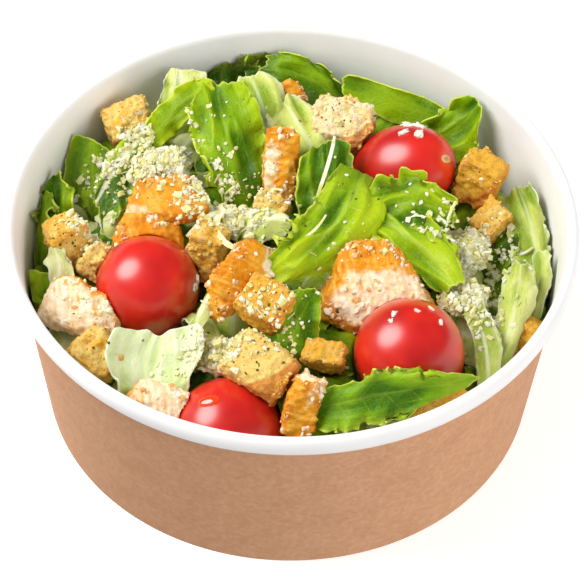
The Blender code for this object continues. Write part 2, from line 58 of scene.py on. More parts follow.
# Bowl wall. Kraft paper board with a white coated face inside, wound into a cone. It is
# turned in at the foot, and rolled outwards at the top, so that the rim shows white.
MM = 0.001
BOWL_HEIGHT = 60.0
FOOT_RADIUS = 65.0
RIM_RADIUS = 75.0
RIM_WIDTH = 3.5
RIM_DROP = 5.8
WALL = 0.8
LINING = 0.35
HEM_HEIGHT = 6.0
HEM_THICKNESS = 2.0
EDGE_ROUND = 0.35
EDGE_MIDDLE = 0.1
FOOT_BEND = 1.0
BOARD_UNDER_RIM = 0.9
RIM_NECK = 1.6
RIM_TURN = range(168, -151, -10)
LINING_START = HEM_HEIGHT + 0.1
LINING_BACK = 0.33
LINING_LAP = 0.6
WALL_STEPS = 24
LINING_STEPS = 28
SEAM_STEPS = 12
BOWL_SEGMENTS = 288
SHARP_FOLD = math.radians(50)
KRAFT = (0.625, 0.320, 0.170)
KRAFT_DARK = (0.44, 0.200, 0.096)
KRAFT_LIGHT = (0.75, 0.435, 0.26)
COATED_WHITE = (0.91, 0.900, 0.895)
COATED_SHADE = (0.87, 0.862, 0.850)


class Link:
    """A socket of a node tree, on which Python's operators add Math nodes."""

    def __init__(self, tree, socket):
        self.tree = tree
        self.socket = socket

    def maths(self, operation, *values):
        return self.tree.add("ShaderNodeMath", {"operation": operation}, dict(enumerate(values)))

    def __add__(self, other):
        return self.maths("ADD", self, other)

    def __radd__(self, other):
        return self.maths("ADD", other, self)

    def __sub__(self, other):
        return self.maths("SUBTRACT", self, other)

    def __rsub__(self, other):
        return self.maths("SUBTRACT", other, self)

    def __mul__(self, other):
        return self.maths("MULTIPLY", self, other)

    def __rmul__(self, other):
        return self.maths("MULTIPLY", other, self)

    def __pow__(self, other):
        return self.maths("POWER", self, other)

    def __abs__(self):
        return self.maths("ABSOLUTE", self)


class Tree:
    """A node tree that one method adds every kind of node to."""

    def __init__(self, nodes):
        self.nodes = nodes

    def add(self, kind, settings=None, sockets=None, output=0):
        node = self.nodes.nodes.new(kind)
        for name, value in (settings or {}).items():
            setattr(node, name, value)
        for key, value in (sockets or {}).items():
            self.join(value, node.inputs[key])
        return Link(self, node.outputs[output])

    def join(self, value, socket):
        if isinstance(value, Link):
            self.nodes.links.new(value.socket, socket)
        elif socket.type == "RGBA" and len(value) == 3:
            socket.default_value = (*value, 1.0)
        else:
            socket.default_value = value


class Finish(Tree):
    """A procedural material, with the shader's constants set and what varies joined."""

    def __init__(self, name, constants):
        self.material = bpy.data.materials.new(name)
        self.material.use_nodes = True
        super().__init__(self.material.node_tree)
        self.shader = self.nodes.nodes["Principled BSDF"]
        for socket, value in constants.items():
            self.join(value, self.shader.inputs[socket])
        self.place = self.add("ShaderNodeTexCoord", output="Object")

    def blend(self, share, first, second):
        settings = {"data_type": "RGBA", "clamp_factor": True}
        return self.add("ShaderNodeMix", settings, {0: share, 6: first, 7: second}, 2)

    def smooth(self, value, low, high):
        """0 below low, 1 above high, and smooth between; low may be the larger."""
        settings = {"interpolation_type": "SMOOTHSTEP"}
        return self.add("ShaderNodeMapRange", settings, {0: value, 1: low, 2: high})

    def layered(self, colour, *layers):
        """Colours laid over one: for each, a value, where it starts and ends, and a share."""
        for value, low, high, share, over in layers:
            colour = self.blend(self.smooth(value, low, high) * share, colour, over)
        return colour

    def stretched(self, scale):
        settings = {"operation": "MULTIPLY"}
        return self.add("ShaderNodeVectorMath", settings, {0: self.place, 1: scale})

    def grain(self, size, detail=2.0, roughness=0.5, vector=None):
        """Noise from 0 to 1 whose bumps are about as wide as the size in millimetres."""
        sockets = {"Vector": vector or self.place, "Scale": 1 / (size * MM)}
        sockets.update({"Detail": detail, "Roughness": roughness})
        return self.add("ShaderNodeTexNoise", None, sockets)

    def cells(self, size, feature="DISTANCE_TO_EDGE"):
        sockets = {"Vector": self.place, "Scale": 1 / (size * MM)}
        return self.add("ShaderNodeTexVoronoi", {"feature": feature}, sockets, "Distance")

    def attribute(self, name, output="Fac"):
        settings = {"attribute_type": "GEOMETRY", "attribute_name": name}
        return self.add("ShaderNodeAttribute", settings, None, output)

    def split(self, name):
        """The three numbers of a vector attribute."""
        sockets = {0: self.attribute(name, "Vector")}
        first = self.add("ShaderNodeSeparateXYZ", None, sockets)
        return [Link(self, output) for output in first.socket.node.outputs]

    def made(self, colour, roughness=None, height=None, depth=0.0):
        """Joins what varies to the shader; the relief's depth is in millimetres."""
        varied = {"Base Color": colour}
        if roughness:
            varied["Roughness"] = roughness
        if height:
            sockets = {"Strength": 1.0, "Distance": depth * MM, "Height": height}
            varied["Normal"] = self.add("ShaderNodeBump", None, sockets)
        for socket, value in varied.items():
            self.join(value, self.shader.inputs[socket])
        return self.material


def add_object(name, data):
    obj = bpy.data.objects.new(name, data)
    bpy.context.scene.collection.objects.link(obj)
    return obj


def make_piece(name, points, faces, material):
    """A mesh object at the origin, from points in millimetres, with its faces outwards."""
    mesh = bpy.data.meshes.new(name)
    mesh.from_pydata((np.asarray(points, float) * MM).tolist(), [], [tuple(f) for f in faces])
    mesh.materials.append(material)
    bm = bmesh.new()
    bm.from_mesh(mesh)
    bmesh.ops.recalc_face_normals(bm, faces=bm.faces)
    bm.to_mesh(mesh)
    bm.free()
    mesh.shade_smooth()
    return add_object(name, mesh)


def settle(obj, slot, *nodes):
    """The piece rides with the bowl and stands for CAD nodes, which it hides; its slot is not used."""
    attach(obj, "root")
    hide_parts(*nodes)


def wall_radius(z):
    """Radius of the bowl's inner face at a height."""
    return FOOT_RADIUS - WALL + (RIM_RADIUS - RIM_WIDTH - FOOT_RADIUS + WALL) * z / BOWL_HEIGHT


def turned(name, profile, material):
    """A closed profile of radius and height, turned round the upright axis."""
    radius, height = np.array(profile, float).T
    angles = np.linspace(0, 2 * np.pi, BOWL_SEGMENTS, endpoint=False)[:, None]
    points = np.stack((np.cos(angles) * radius, np.sin(angles) * radius, height + 0 * angles), -1)
    count = len(profile)
    here = np.arange(BOWL_SEGMENTS)[:, None] * count + np.arange(count)
    there = np.roll(here, -1, axis=0)
    faces = np.stack((here, there, np.roll(there, -1, axis=1), np.roll(here, -1, axis=1)), -1)
    obj = make_piece(name, points.reshape(-1, 3), faces.reshape(-1, 4), material)
    obj.data.set_sharp_from_angle(angle=SHARP_FOLD)
    return obj


def on_wall(z, depth):
    """A profile's point at a height, that far out from the inner face of the wall."""
    return wall_radius(z) + depth, z


def straight(start, end, steps):
    """Points of radius and height along a straight run, its end left out."""
    share = np.linspace(0, 1, steps, endpoint=False)[:, None]
    return [tuple(p) for p in np.array(start) + share * (np.array(end) - np.array(start))]


def kraft_board():
    finish = Finish("kraft_board", {"Specular IOR Level": 0.35})
    mottle = finish.grain(1.6, 3.0, 0.65)
    fibres = finish.grain(0.9, 3.0, 0.6, finish.stretched((0.35, 0.35, 1.6)))
    hairs = finish.grain(0.5, 2.0, 0.6, finish.stretched((1.5, 1.5, 0.25)))
    colour = finish.layered(
        KRAFT,
        (mottle, 0.35, 0.70, 0.55, KRAFT_LIGHT),
        (fibres, 0.56, 0.78, 0.65, KRAFT_DARK),
        (hairs, 0.62, 0.80, 0.50, KRAFT_LIGHT),
        (finish.grain(9.0, 4.0, 0.6), 0.40, 0.75, 0.25, KRAFT_DARK),
    )
    return finish.made(colour, 0.72 + mottle * 0.2, mottle * 0.6 + fibres * 0.4, 0.05)


def coated_paper(name):
    finish = Finish(name, {"Specular IOR Level": 0.45})
    cloud = finish.grain(14.0, 3.0)
    colour = finish.layered(COATED_WHITE, (cloud, 0.30, 0.75, 1.0, COATED_SHADE))
    height = finish.grain(0.8, 3.0, 0.6) * 0.7 + cloud * 0.3
    return finish.made(colour, 0.38 + cloud * 0.12, height, 0.03)


def kraft_profile():
    """Outer face of the wall, and the hem that turns in under the foot."""
    top = BOWL_HEIGHT - RIM_DROP + BOARD_UNDER_RIM
    edge = [(EDGE_ROUND, 0.0), (EDGE_MIDDLE, EDGE_MIDDLE), (0.0, EDGE_ROUND)]
    inner = FOOT_RADIUS - HEM_THICKNESS
    profile = [(FOOT_RADIUS - inset, z) for inset, z in edge]
    profile += straight(on_wall(FOOT_BEND, WALL), on_wall(top, WALL), WALL_STEPS)
    profile += straight(on_wall(top, LINING), on_wall(HEM_HEIGHT, LINING), SEAM_STEPS)
    profile.append((inner, HEM_HEIGHT))
    return profile + [(inner + inset, z) for inset, z in reversed(edge)]


def lining_profile():
    """Inner face of the wall, and the roll that it makes round the rim."""
    middle = RIM_RADIUS - RIM_WIDTH / 2
    high = BOWL_HEIGHT - RIM_DROP / 2
    neck = high - RIM_NECK
    profile = straight(on_wall(LINING_START, 0), on_wall(neck, 0), LINING_STEPS)
    for degrees in RIM_TURN:
        angle = math.radians(degrees)
        profile.append((middle + RIM_WIDTH / 2 * math.cos(angle), high + RIM_DROP / 2 * math.sin(angle)))
    back = on_wall(LINING_START, LINING_BACK)
    profile += straight((wall_radius(neck) + LINING_BACK, neck - LINING_LAP), back, SEAM_STEPS)
    return profile + [back]


bowl_outside = turned("bowl_outside", kraft_profile(), kraft_board())
settle(bowl_outside, "kraft_paper", "bowl_wall")
bowl_lining = turned("bowl_lining", lining_profile(), coated_paper("coated_paper"))
settle(bowl_lining, "white_paper", "bowl_wall")


# Bowl base. A disc of the same coated paper, pressed into the foot of the wall and held
# there by the hem, a little above the table.
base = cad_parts["bowl_base"]
base.data.materials.clear()
base.data.materials.append(coated_paper("base_paper"))


# Salad core. What lies under the toppings is more romaine, packed close and in shade, with its
# greens painted dark as that shade. It is one crumpled body that fills the bowl up to the level the
# toppings rest on.
HEAP_EDGE_LEVEL = 33.0
HEAP_RISE = 9.0
HEAP_BACK_RISE = 3.0
HEAP_BUMP = 3.2
HEAP_BUMP_LENGTH = 14.0
HEAP_BOTTOM = 7.4
HEAP_SEGMENTS = 180
HEAP_RINGS = 64
CORE_DROP = 1.5
CORE_WALL_GAP = 0.9
CORE_FOOT_GAP = 0.6
CRUMPLE_DEPTH = 3.0
CRUMPLE_LENGTH = 8.0
CREASES_TO_A_FOLD = 2.3
# Greens of the core, all painted dark as shade
CORE_SHADE_GREEN = (0.040, 0.120, 0.003)
SHADED_GREEN = (0.15, 0.31, 0.005)
SHADED_PALE = (0.42, 0.50, 0.16)


def heap_level(x, y):
    """Height of the bare heap above a place in the bowl."""
    share = min(1.0, math.hypot(x, y) / wall_radius(HEAP_EDGE_LEVEL))
    bump = noise.noise(Vector((x, y, 7.0)) / HEAP_BUMP_LENGTH)
    level = HEAP_EDGE_LEVEL + HEAP_RISE * (1 - share ** 2) + HEAP_BACK_RISE * y / FOOT_RADIUS
    return level + HEAP_BUMP * bump


def crumpled_level(x, y):
    """The heap's height with the folds of the leaves that it is packed from."""
    fold = abs(noise.noise(Vector((x, y, 3.0)) / CRUMPLE_LENGTH))
    crease = abs(noise.noise(Vector((x, y, 9.0)) / CRUMPLE_LENGTH * CREASES_TO_A_FOLD))
    return heap_level(x, y) - CORE_DROP + CRUMPLE_DEPTH * (0.5 - fold - 0.4 * crease)


def packed_romaine():
    finish = Finish("packed_romaine", {"Specular IOR Level": 0.4, "Roughness": 0.5})
    # Painted shade: dark greens, with lighter and darker patches and dim pale veins
    colour = finish.layered(
        CORE_SHADE_GREEN,
        (finish.grain(7.0, 3.0), 0.35, 0.65, 1.0, SHADED_GREEN),
        (finish.cells(4.5), 0.06, 0.00, 0.15, SHADED_PALE),
    )
    return finish.made(colour, None, finish.grain(1.8, 3.0), 0.4)


def closed_rings(count, segments):
    """Faces of a stack of rings that starts and ends in a single point."""
    faces = []
    last = 1 + (count - 1) * segments
    for i in range(segments):
        j = (i + 1) % segments
        faces.append((0, 1 + i, 1 + j))
        for low in range(1, last, segments):
            high = low + segments
            faces.append((low + i, low + j, high + j, high + i))
        faces.append((last + i, last + j, last + segments))
    return faces


def make_core():
    rings = [(wall_radius(HEAP_BOTTOM) - CORE_FOOT_GAP, lambda x, y: HEAP_BOTTOM)]
    edge = wall_radius(HEAP_EDGE_LEVEL) - CORE_WALL_GAP
    rings += [(edge * (1 - ring / HEAP_RINGS), crumpled_level) for ring in range(HEAP_RINGS)]
    points = [(0, 0, HEAP_BOTTOM)]
    for radius, level in rings:
        for step in range(HEAP_SEGMENTS):
            angle = 2 * math.pi * step / HEAP_SEGMENTS
            x, y = radius * math.cos(angle), radius * math.sin(angle)
            points.append((x, y, level(x, y)))
    points.append((0, 0, crumpled_level(0, 0)))
    return make_piece("salad_core", points, closed_rings(len(rings), HEAP_SEGMENTS), packed_romaine())


core = make_core()
settle(core, "romaine", "lettuce_heap")


# Romaine leaves. Torn and cut pieces of crisp leaf: smooth folds that run along the leaf,
# ragged ruffled edges with a painted highlight along the rim, and a rib that is broad and white on
# inner leaves. Painted shade darkens the hollows of the folds and painted light brightens their ridges.
LEAF_THICKNESS = 0.45
LEAF_TUCK = 11.0
TUCK_SHARE = 0.18
LEAF_WALL_GAP = 0.9
LEAF_TOP = cad_box[1][2] / MM - 0.15
TOP_EASE = 2.0
TOMATO_GAP = 0.5
FRILL_WAVES = 2.2
RUFFLE_LENGTHS = (7.5, 3.3)
LEAF_GRID = 0.48
FOLD_LENGTH = 24.0
FOLD_WIDTH = 7.5
TUCK_BACK = 0.3
TIP_SLANT = 0.12
NOTCH_WIDTH = 0.22
CORNER_ROUND = 0.10
LOBE_APART = 9.0
SMALL_RUFFLE = 0.55
RUFFLE_SWAY = 0.8
BLADE_START = 0.08
BLADE_EASE = 0.3
VEIN_SLANT = 0.9
MOST_ROWS = 88
MOST_COLUMNS = 52
FILLER_GRID = 1.0
FILLER_TOMATO_GAP = 18.0
FILLER_RINGS = (6, 18, 30, 42, 54, 61)
FILLER_SPACING = 11.0
FILLER_REACH = (8, 13)
FILLER_HALF = (5, 9)
FILLER_RISE = (0.5, 5.0)
FILLER_TILT = 3.0
FILLER_CURL = 1.2
FILLER_FRILL = (0.8, 1.7)
ROLL_START = 0.66
TOWARDS_VIEWER = np.array((0.0, -0.669, 0.743))

# Waves of a torn tip: depth, waves from side to side, and turn with the leaf's seed
TIP_WAVES = ((0.05, 5, 3), (0.02, 17, 1))

# Layers of noise, each with its weight, size and shift: the tears of an edge, and the long
# folds besides the one that makes a crease
TEARS = ((2.2, 6.0, 0.0), (1.0, 2.4, 3.0), (0.4, 1.0, 6.0))
PLEATS = ((0.75, 1.0, 0.0), (0.3, 0.4, 9.0))

# Each leaf: kind, root, middle, tip, left edge, right edge, depth of its frill, and how
# far its left and right edges curl over, in radians
LEAVES = (
    ("flat", (-55.5, 21, 38), (-54, 29, 44.5), (-53, 36, 51), (-61, 32.5, 47), (-48, 26.5, 45),
     0.3, 0.0, 0.2),
    ("frill", (-65, -4, 33), (-66, 10, 40), (-66, 20, 46), (-68, 11, 38), (-61, 9, 43), 1.6, 0.0, 0.8),
    ("frill", (-62, 12, 38), (-63, 18, 46), (-63, 25, 50), (-69, 18, 46), (-57, 15, 45), 1.8, 0.0, 0.9),
    ("ribbed", (-38.5, 37, 56), (-45, 28, 54), (-52, 17, 47), (-47.5, 28, 52), (-42, 18, 47),
     1.2, 0.3, 0.8),
    ("lime", (-39, 34, 53), (-31, 41.5, 58), (-22, 49, 61), (-34, 45.5, 59), (-28, 40, 55.5),
     0.8, 1.7, 0.2),
    ("green", (-11, 18, 49), (-17, 30, 58), (-21, 50, 61), (-27, 29, 56), (-9, 39, 57), 1.5, 1.5, 0.6),
    ("pale", (-33, 46, 47), (-31, 53, 53), (-31, 59, 56), (-36, 53, 52), (-23, 54, 53), 0.6, 0.5, 0.0),
    ("dark", (-19, 58, 43), (-20, 65, 48), (-20, 69, 51), (-28, 63, 47), (-11, 67, 48), 1.4, 0.6, 0.6),
    ("dark", (-7, 62, 44), (-8, 68, 49), (-8, 70, 53), (-14, 68, 48), (-1, 69, 48), 1.4, 0.0, 0.6),
    ("striped", (-8, 33, 53), (-8, 45, 55), (-12, 57, 56), (-15, 44, 54), (0, 47, 54), 0.5, 0.3, 0.0),
    ("striped", (7, 29, 53), (2, 39, 54), (-3, 50, 54), (-5, 36, 53), (6, 45, 53), 0.5, 0.0, 0.5),
    ("dark", (14, 58, 45), (3, 63, 50), (-9, 66, 51), (2, 55, 45), (3, 68, 53), 1.4, 1.3, 0.8),
    ("flat", (41, 51, 47), (27, 56, 49), (13, 60, 51), (26, 52, 45), (28, 58.5, 51.5), 0.8, 0.3, 0.9),
    ("green", (37, 45, 44), (45, 46, 50), (50, 48, 57), (39, 50, 50), (47, 38, 46), 1.2, 1.2, 0.4),
    ("green", (8, 11, 51), (9, 20, 56), (9, 31, 58), (1, 18, 55), (16, 24, 56), 1.0, 1.1, 0.4),
    ("frill", (18, 4, 53), (30, 9, 58), (42, 6, 55), (29, 17, 61), (33, -1, 54), 1.8, 0.0, 0.0),
    ("long", (18.5, 20.5, 57), (10.5, -1.5, 59), (-5, -15, 53), (2, 2.5, 59), (20, -1, 52),
     1.0, 1.0, 0.0),
    ("long", (20, 8, 54), (32, -2, 54), (43, -14, 50), (37, 6, 54), (27, -7, 51), 1.0, 0.5, 0.5),
    ("striped", (65, -5, 41), (64, 9, 46), (60, 22, 51), (67, 13, 47), (57, 10, 45), 1.0, 0.9, 0.5),
    ("striped", (54, -31, 41), (58, -18, 47), (60, -4, 50), (54, -15, 46), (63, -14, 46), 0.7, 0.5, 0.0),
    ("striped", (62, -16, 38), (65, -6, 44), (66, 2, 48), (62, -4, 42), (68, -7, 45), 0.6, 0.0, 0.4),
    ("pale", (51, -41, 42), (50, -27, 47), (45, -14, 50), (47, -27, 46), (54, -26, 46), 0.8, 0.4, 0.4),
    ("front", (7, -50, 44), (24.5, -51, 51), (46, -44.5, 50), (25, -47.5, 55.5), (24, -55.5, 45.5),
     1.1, 0.1, 0.5),
    ("cup", (-35, -44, 42), (-35, -37, 44.5), (-33, -28.5, 48), (-46, -37, 49), (-21, -36, 50),
     0.9, 1.2, 1.0),
    ("green", (2, -36, 49), (1, -29, 54), (4, -21, 57), (-7, -28, 53), (8, -27, 52), 1.2, 1.3, 0.5),
    ("pale", (-12, 3, 50), (-7, 6, 53), (0, 5, 54), (-9, 10, 53), (-6, 1, 51), 0.5, 0.4, 0.0),
    ("pale", (-25, -29, 47), (-21, -21, 52), (-18, -14, 54), (-23, -19, 51), (-19, -22, 51),
     0.3, 0.5, 0.5),
    ("pale", (-60, -12, 41), (-60, -6, 46), (-62, -1, 49), (-63, -8, 45), (-56, -7, 45), 0.3, 0.0, 0.3),
    ("green", (-65, -14, 35), (-65, -9, 40), (-65, -5, 44), (-67, -8, 39), (-61, -10, 41), 0.6, 0.0, 0.5),
    ("dark", (50, 2, 38), (55, 6, 43), (60, 9, 46), (54, 11, 43), (58, 1, 41), 0.9, 0.0, 0.5),
)

# Each kind: number of side veins, depth in millimetres of the quilting between them, of
# the long folds and of the rib, half width of the rib, share of ruffles in the frill, depth
# of the tears in the outline, how plainly the rib and the side veins show, how pointed
# the tip is, and how deep it is split
LEAF_TRAITS = "veins quilting folding rib_depth rib_width ruffles tears rib vein point notch"
LeafKind = namedtuple("LeafKind", LEAF_TRAITS, defaults=(0.0, 0.0))
LEAF_KINDS = {
    "green": LeafKind(5, 0.10, 3.4, 0.6, 0.6, 0.6, 0.5, 0.10, 0.07, 0.10),
    "flat": LeafKind(4, 0.05, 1.0, 0.3, 0.6, 0.2, 0.2, 0.06, 0.04),
    "frill": LeafKind(5, 0.30, 3.2, 0.6, 0.6, 1.1, 1.1, 0.12, 0.10),
    "ribbed": LeafKind(5, 0.16, 1.8, 1.4, 2.4, 0.7, 0.5, 0.95, 0.12),
    "lime": LeafKind(5, 0.08, 2.2, 0.6, 0.7, 0.9, 0.3, 0.12, 0.06),
    "long": LeafKind(7, 0.08, 5.4, 0.9, 0.8, 0.5, 0.35, 0.16, 0.10, 0.20),
    "striped": LeafKind(4, 0.10, 2.8, 0.9, 1.3, 0.35, 0.40, 0.35, 0.08),
    "pale": LeafKind(4, 0.12, 2.2, 1.0, 1.8, 0.4, 0.4, 0.55, 0.08),
    "cup": LeafKind(3, 0.06, 1.4, 0.3, 3.0, 0.3, 0.15, 0.0, 0.08, 0.0, 0.08),
    "front": LeafKind(6, 0.18, 3.6, 0.8, 0.8, 0.7, 0.55, 0.18, 0.12, 0.38),
    "dark": LeafKind(5, 0.20, 2.8, 0.6, 0.6, 0.8, 0.7, 0.12, 0.08),
}

# Colours of each kind: painted shade for the hollows, the blade's own, painted light for the
# ridges and lighter towards the edge, and of the rib, which the painted highlight along the thin
# rim of pale leaves shares; that of the others is lime
LEAF_COLOURS = {
    "green": ((0.050, 0.150, 0.001), (0.190, 0.350, 0.001), (0.380, 0.530, 0.003), (0.50, 0.62, 0.08)),
    "flat": ((0.110, 0.230, 0.001), (0.220, 0.370, 0.001), (0.310, 0.450, 0.002), (0.45, 0.56, 0.06)),
    "frill": ((0.050, 0.150, 0.001), (0.220, 0.380, 0.002), (0.440, 0.590, 0.008), (0.56, 0.66, 0.14)),
    "ribbed": ((0.060, 0.170, 0.001), (0.230, 0.390, 0.002), (0.420, 0.570, 0.006), (0.80, 0.86, 0.60)),
    "lime": ((0.220, 0.360, 0.001), (0.400, 0.550, 0.001), (0.560, 0.660, 0.006), (0.66, 0.72, 0.12)),
    "long": ((0.075, 0.190, 0.001), (0.260, 0.430, 0.001), (0.460, 0.610, 0.006), (0.66, 0.74, 0.22)),
    "striped": ((0.270, 0.400, 0.010), (0.550, 0.640, 0.110), (0.740, 0.800, 0.360), (0.84, 0.88, 0.66)),
    "pale": ((0.360, 0.480, 0.040), (0.620, 0.700, 0.200), (0.800, 0.840, 0.460), (0.88, 0.90, 0.72)),
    "cup": ((0.470, 0.620, 0.170), (0.620, 0.740, 0.380), (0.760, 0.840, 0.600), (0.84, 0.89, 0.74)),
    "front": ((0.055, 0.180, 0.001), (0.195, 0.400, 0.002), (0.420, 0.620, 0.020), (0.54, 0.70, 0.10)),
    "dark": ((0.016, 0.060, 0.001), (0.080, 0.190, 0.001), (0.240, 0.400, 0.003), (0.40, 0.50, 0.06)),
}
# Lime of the painted highlight along the rim of the leaves that are not pale
RIM_HIGHLIGHT_LIME = (0.70, 0.80, 0.14)
PALE_RIMS = ("cup", "pale", "striped")
FILLER_KINDS = ("green", "green", "long", "frill", "striped", "pale", "dark")

# Tomatoes: middle, half length, half width, direction of the stalk end, and flakes of
# cheese stuck to the skin as directions from the middle
TOMATOES = (
    ((-37, -10, 44), 13.8, 13.5, (0.3, 0.6, -0.7),
     ((0.9, -0.25, 0.3), (0.95, -0.05, 0.3), (-0.8, -0.4, 0.1))),
    ((30, 31, 48), 15.2, 11.8, (0.75, -0.30, 0.59),
     ((0.05, 0.45, 0.85), (0.28, 0.35, 0.88), (-0.05, 0.1, 0.98), (0.25, 0.0, 0.95), (0.15, -0.75, 0.4))),
    ((31, -32, 45), 14.8, 14.2, (-0.2, 0.7, -0.6),
     ((0.1, 0.15, 0.97), (0.35, 0.3, 0.88), (-0.3, 0.1, 0.93), (0.5, 0.0, 0.83), (-0.35, -0.05, 0.9))),
    ((-15, -50.5, 34), 14.6, 14.2, (0.4, 0.6, -0.6), ()),
)


def unit(vectors):
    return vectors / np.maximum(np.linalg.norm(vectors, axis=-1, keepdims=True), 1e-9)


def inside_bowl(points, gap):
    """Moves points in from the wall, as a leaf is pressed against it."""
    reach = np.hypot(points[..., 0], points[..., 1])
    share = np.minimum(1.0, (wall_radius(points[..., 2]) - gap) / np.maximum(reach, 1e-6))
    return points * np.stack((share, share, np.ones_like(share)), -1)


def below_top(points):
    """Eases points down where they would stand above the heap's highest leaf."""
    over = np.maximum(points[..., 2] - (LEAF_TOP - TOP_EASE), 0)
    z = np.where(over > 0, LEAF_TOP - TOP_EASE * np.exp(-over / TOP_EASE), points[..., 2])
    return np.stack((points[..., 0], points[..., 1], z), -1)


def clear_of_tomatoes(points, gap):
    for middle, half_length, half_width, _, _ in TOMATOES:
        offset = points - np.array(middle, float)
        distance = np.maximum(np.linalg.norm(offset, axis=-1, keepdims=True), 1e-3)
        limit = max(half_length, half_width) + gap
        points = np.where(distance < limit, np.array(middle, float) + offset * limit / distance, points)
    return points


def bowed(start, middle, end, share):
    """Points of a smooth curve through three points."""
    control = 2 * middle - (start + end) / 2
    return (1 - share) ** 2 * start + 2 * share * (1 - share) * control + share ** 2 * end


def field(points, size, shift=0.0):
    """Smooth noise from -1 to 1 at each point of an array."""
    flat = points.reshape(-1, 3) / size + shift
    return np.array([noise.noise(Vector(p)) for p in flat]).reshape(points.shape[:-1])


def fields(points, layers):
    """Several layers of noise added up."""
    return sum(weight * field(points, size, shift) for weight, size, shift in layers)


def torn_outline(side, along, length, half, seed, look):
    """How far along and across each point of a torn leaf lies, from 0 and the spine to 1."""
    forward = np.clip(along, 0, 1)
    slant = TIP_SLANT * np.sin(9 * seed) * side
    for depth, waves, turning in TIP_WAVES:
        slant = slant + depth * np.sin(waves * side + turning * seed)
    split = look.notch * np.exp(-(side / NOTCH_WIDTH) ** 2) + CORNER_ROUND * abs(side) ** 3
    s = forward * (1 - (split + slant * min(1.0, look.tears)) * forward ** 3)
    s = s * (1 - look.point * abs(side) ** 3 * forward)
    reach = s * length
    lobes = np.stack((reach, LOBE_APART * np.sign(side) + 0 * reach, seed + 0 * reach), -1)
    return s, side * (1 + look.tears * fields(lobes, TEARS) / half * side ** 2)


def rolled_over(t, turn, s, half, curls):
    """How far out each point stays, and how far up it comes, where the edges curl over."""
    roll = np.where(t > 0, curls[1], curls[0]) * (0.75 + 0.35 * np.sin(5 * s + turn)) + 1e-3
    flat = 1 - ROLL_START
    over = np.clip((abs(t) - ROLL_START) / flat, 0, 1.3) * roll
    out = np.where(abs(t) > ROLL_START, ROLL_START + np.sin(over) / roll * flat, abs(t))
    return np.sign(t) * out, (1 - np.cos(over)) / roll * flat * half


def leaf_sheet(leaf, rows, columns):
    """The middle surface of a leaf, and how far along and across each point lies."""
    kind, *corners, frill, left_curl, right_curl = leaf
    root, middle, tip, left, right = (np.array(p, float) for p in corners)
    look = LEAF_KINDS[kind]
    seed = root[0] * 0.37 + tip[1] * 0.21
    spread = (right - left) / 2
    half = np.linalg.norm(spread)
    length = np.linalg.norm(tip - root)
    along = np.linspace(-TUCK_SHARE, 1, rows + 1)[:, None]
    side = np.linspace(-1, 1, columns + 1)[None, :]
    turn = seed + np.where(side > 0, 1.9, 0.0)
    s, t = torn_outline(side, along, length, half, seed, look)
    below = np.clip(-along, 0, 1)[..., None] / TUCK_SHARE
    spine = bowed(root, middle, tip, s[..., None])
    spine = spine - below * (TUCK_BACK * (middle - root) + np.array((0, 0, LEAF_TUCK)))
    cup = (left + right) / 2 - middle
    across = unit(np.cross(tip - root, spread))
    upper = across if across @ TOWARDS_VIEWER > 0 else -across
    width = np.sin(np.pi * (0.15 + 0.75 * np.clip(s, 0, 1)))[..., None] ** 0.36
    out, lift = rolled_over(t, turn, s, half, (left_curl, right_curl))
    sheet = spine + width * (spread * out[..., None] + cup * t[..., None] ** 2)
    sheet = sheet + upper * lift[..., None]
    reach = 2 * np.pi * s * length
    ruffle = np.sin(reach / RUFFLE_LENGTHS[0] + 2.3 * turn) * abs(t) ** 1.5
    ruffle = ruffle + SMALL_RUFFLE * np.sin(reach / RUFFLE_LENGTHS[1] + 3.1 * turn) * abs(t) ** 5
    wave = np.sin(2 * np.pi * FRILL_WAVES * s + turn) + look.ruffles * ruffle
    sheet = sheet + across * (frill * abs(t) ** 1.5 * wave)[..., None]
    sway = np.cos(reach / RUFFLE_LENGTHS[0] + 2.3 * turn) * look.ruffles * frill * t ** 2
    sheet = sheet + unit(tip - root) * (RUFFLE_SWAY * sway)[..., None]
    rim = np.maximum(abs(side) ** 9, np.clip(along, 0, 1) ** 24)
    return sheet, s, t, rim, half, length, seed


def slab_faces(rows, columns):
    """Faces of two grids of points, one over the other, closed by a rim of their own."""
    wide = columns + 1
    first = (np.arange(rows)[:, None] * wide + np.arange(columns)).reshape(-1)
    upper = np.stack((first, first + 1, first + wide + 1, first + wide), -1)
    count = wide * (rows + 1)
    number = np.arange(count).reshape(rows + 1, wide)
    ring = np.concatenate((number[0, :-1], number[:-1, -1], number[-1, :0:-1], number[:0:-1, 0]))
    after = np.roll(ring, -1)
    edge = np.stack((ring, ring + count, after + count, after), -1)
    return np.concatenate((upper, upper[:, ::-1] + count, edge)).tolist()


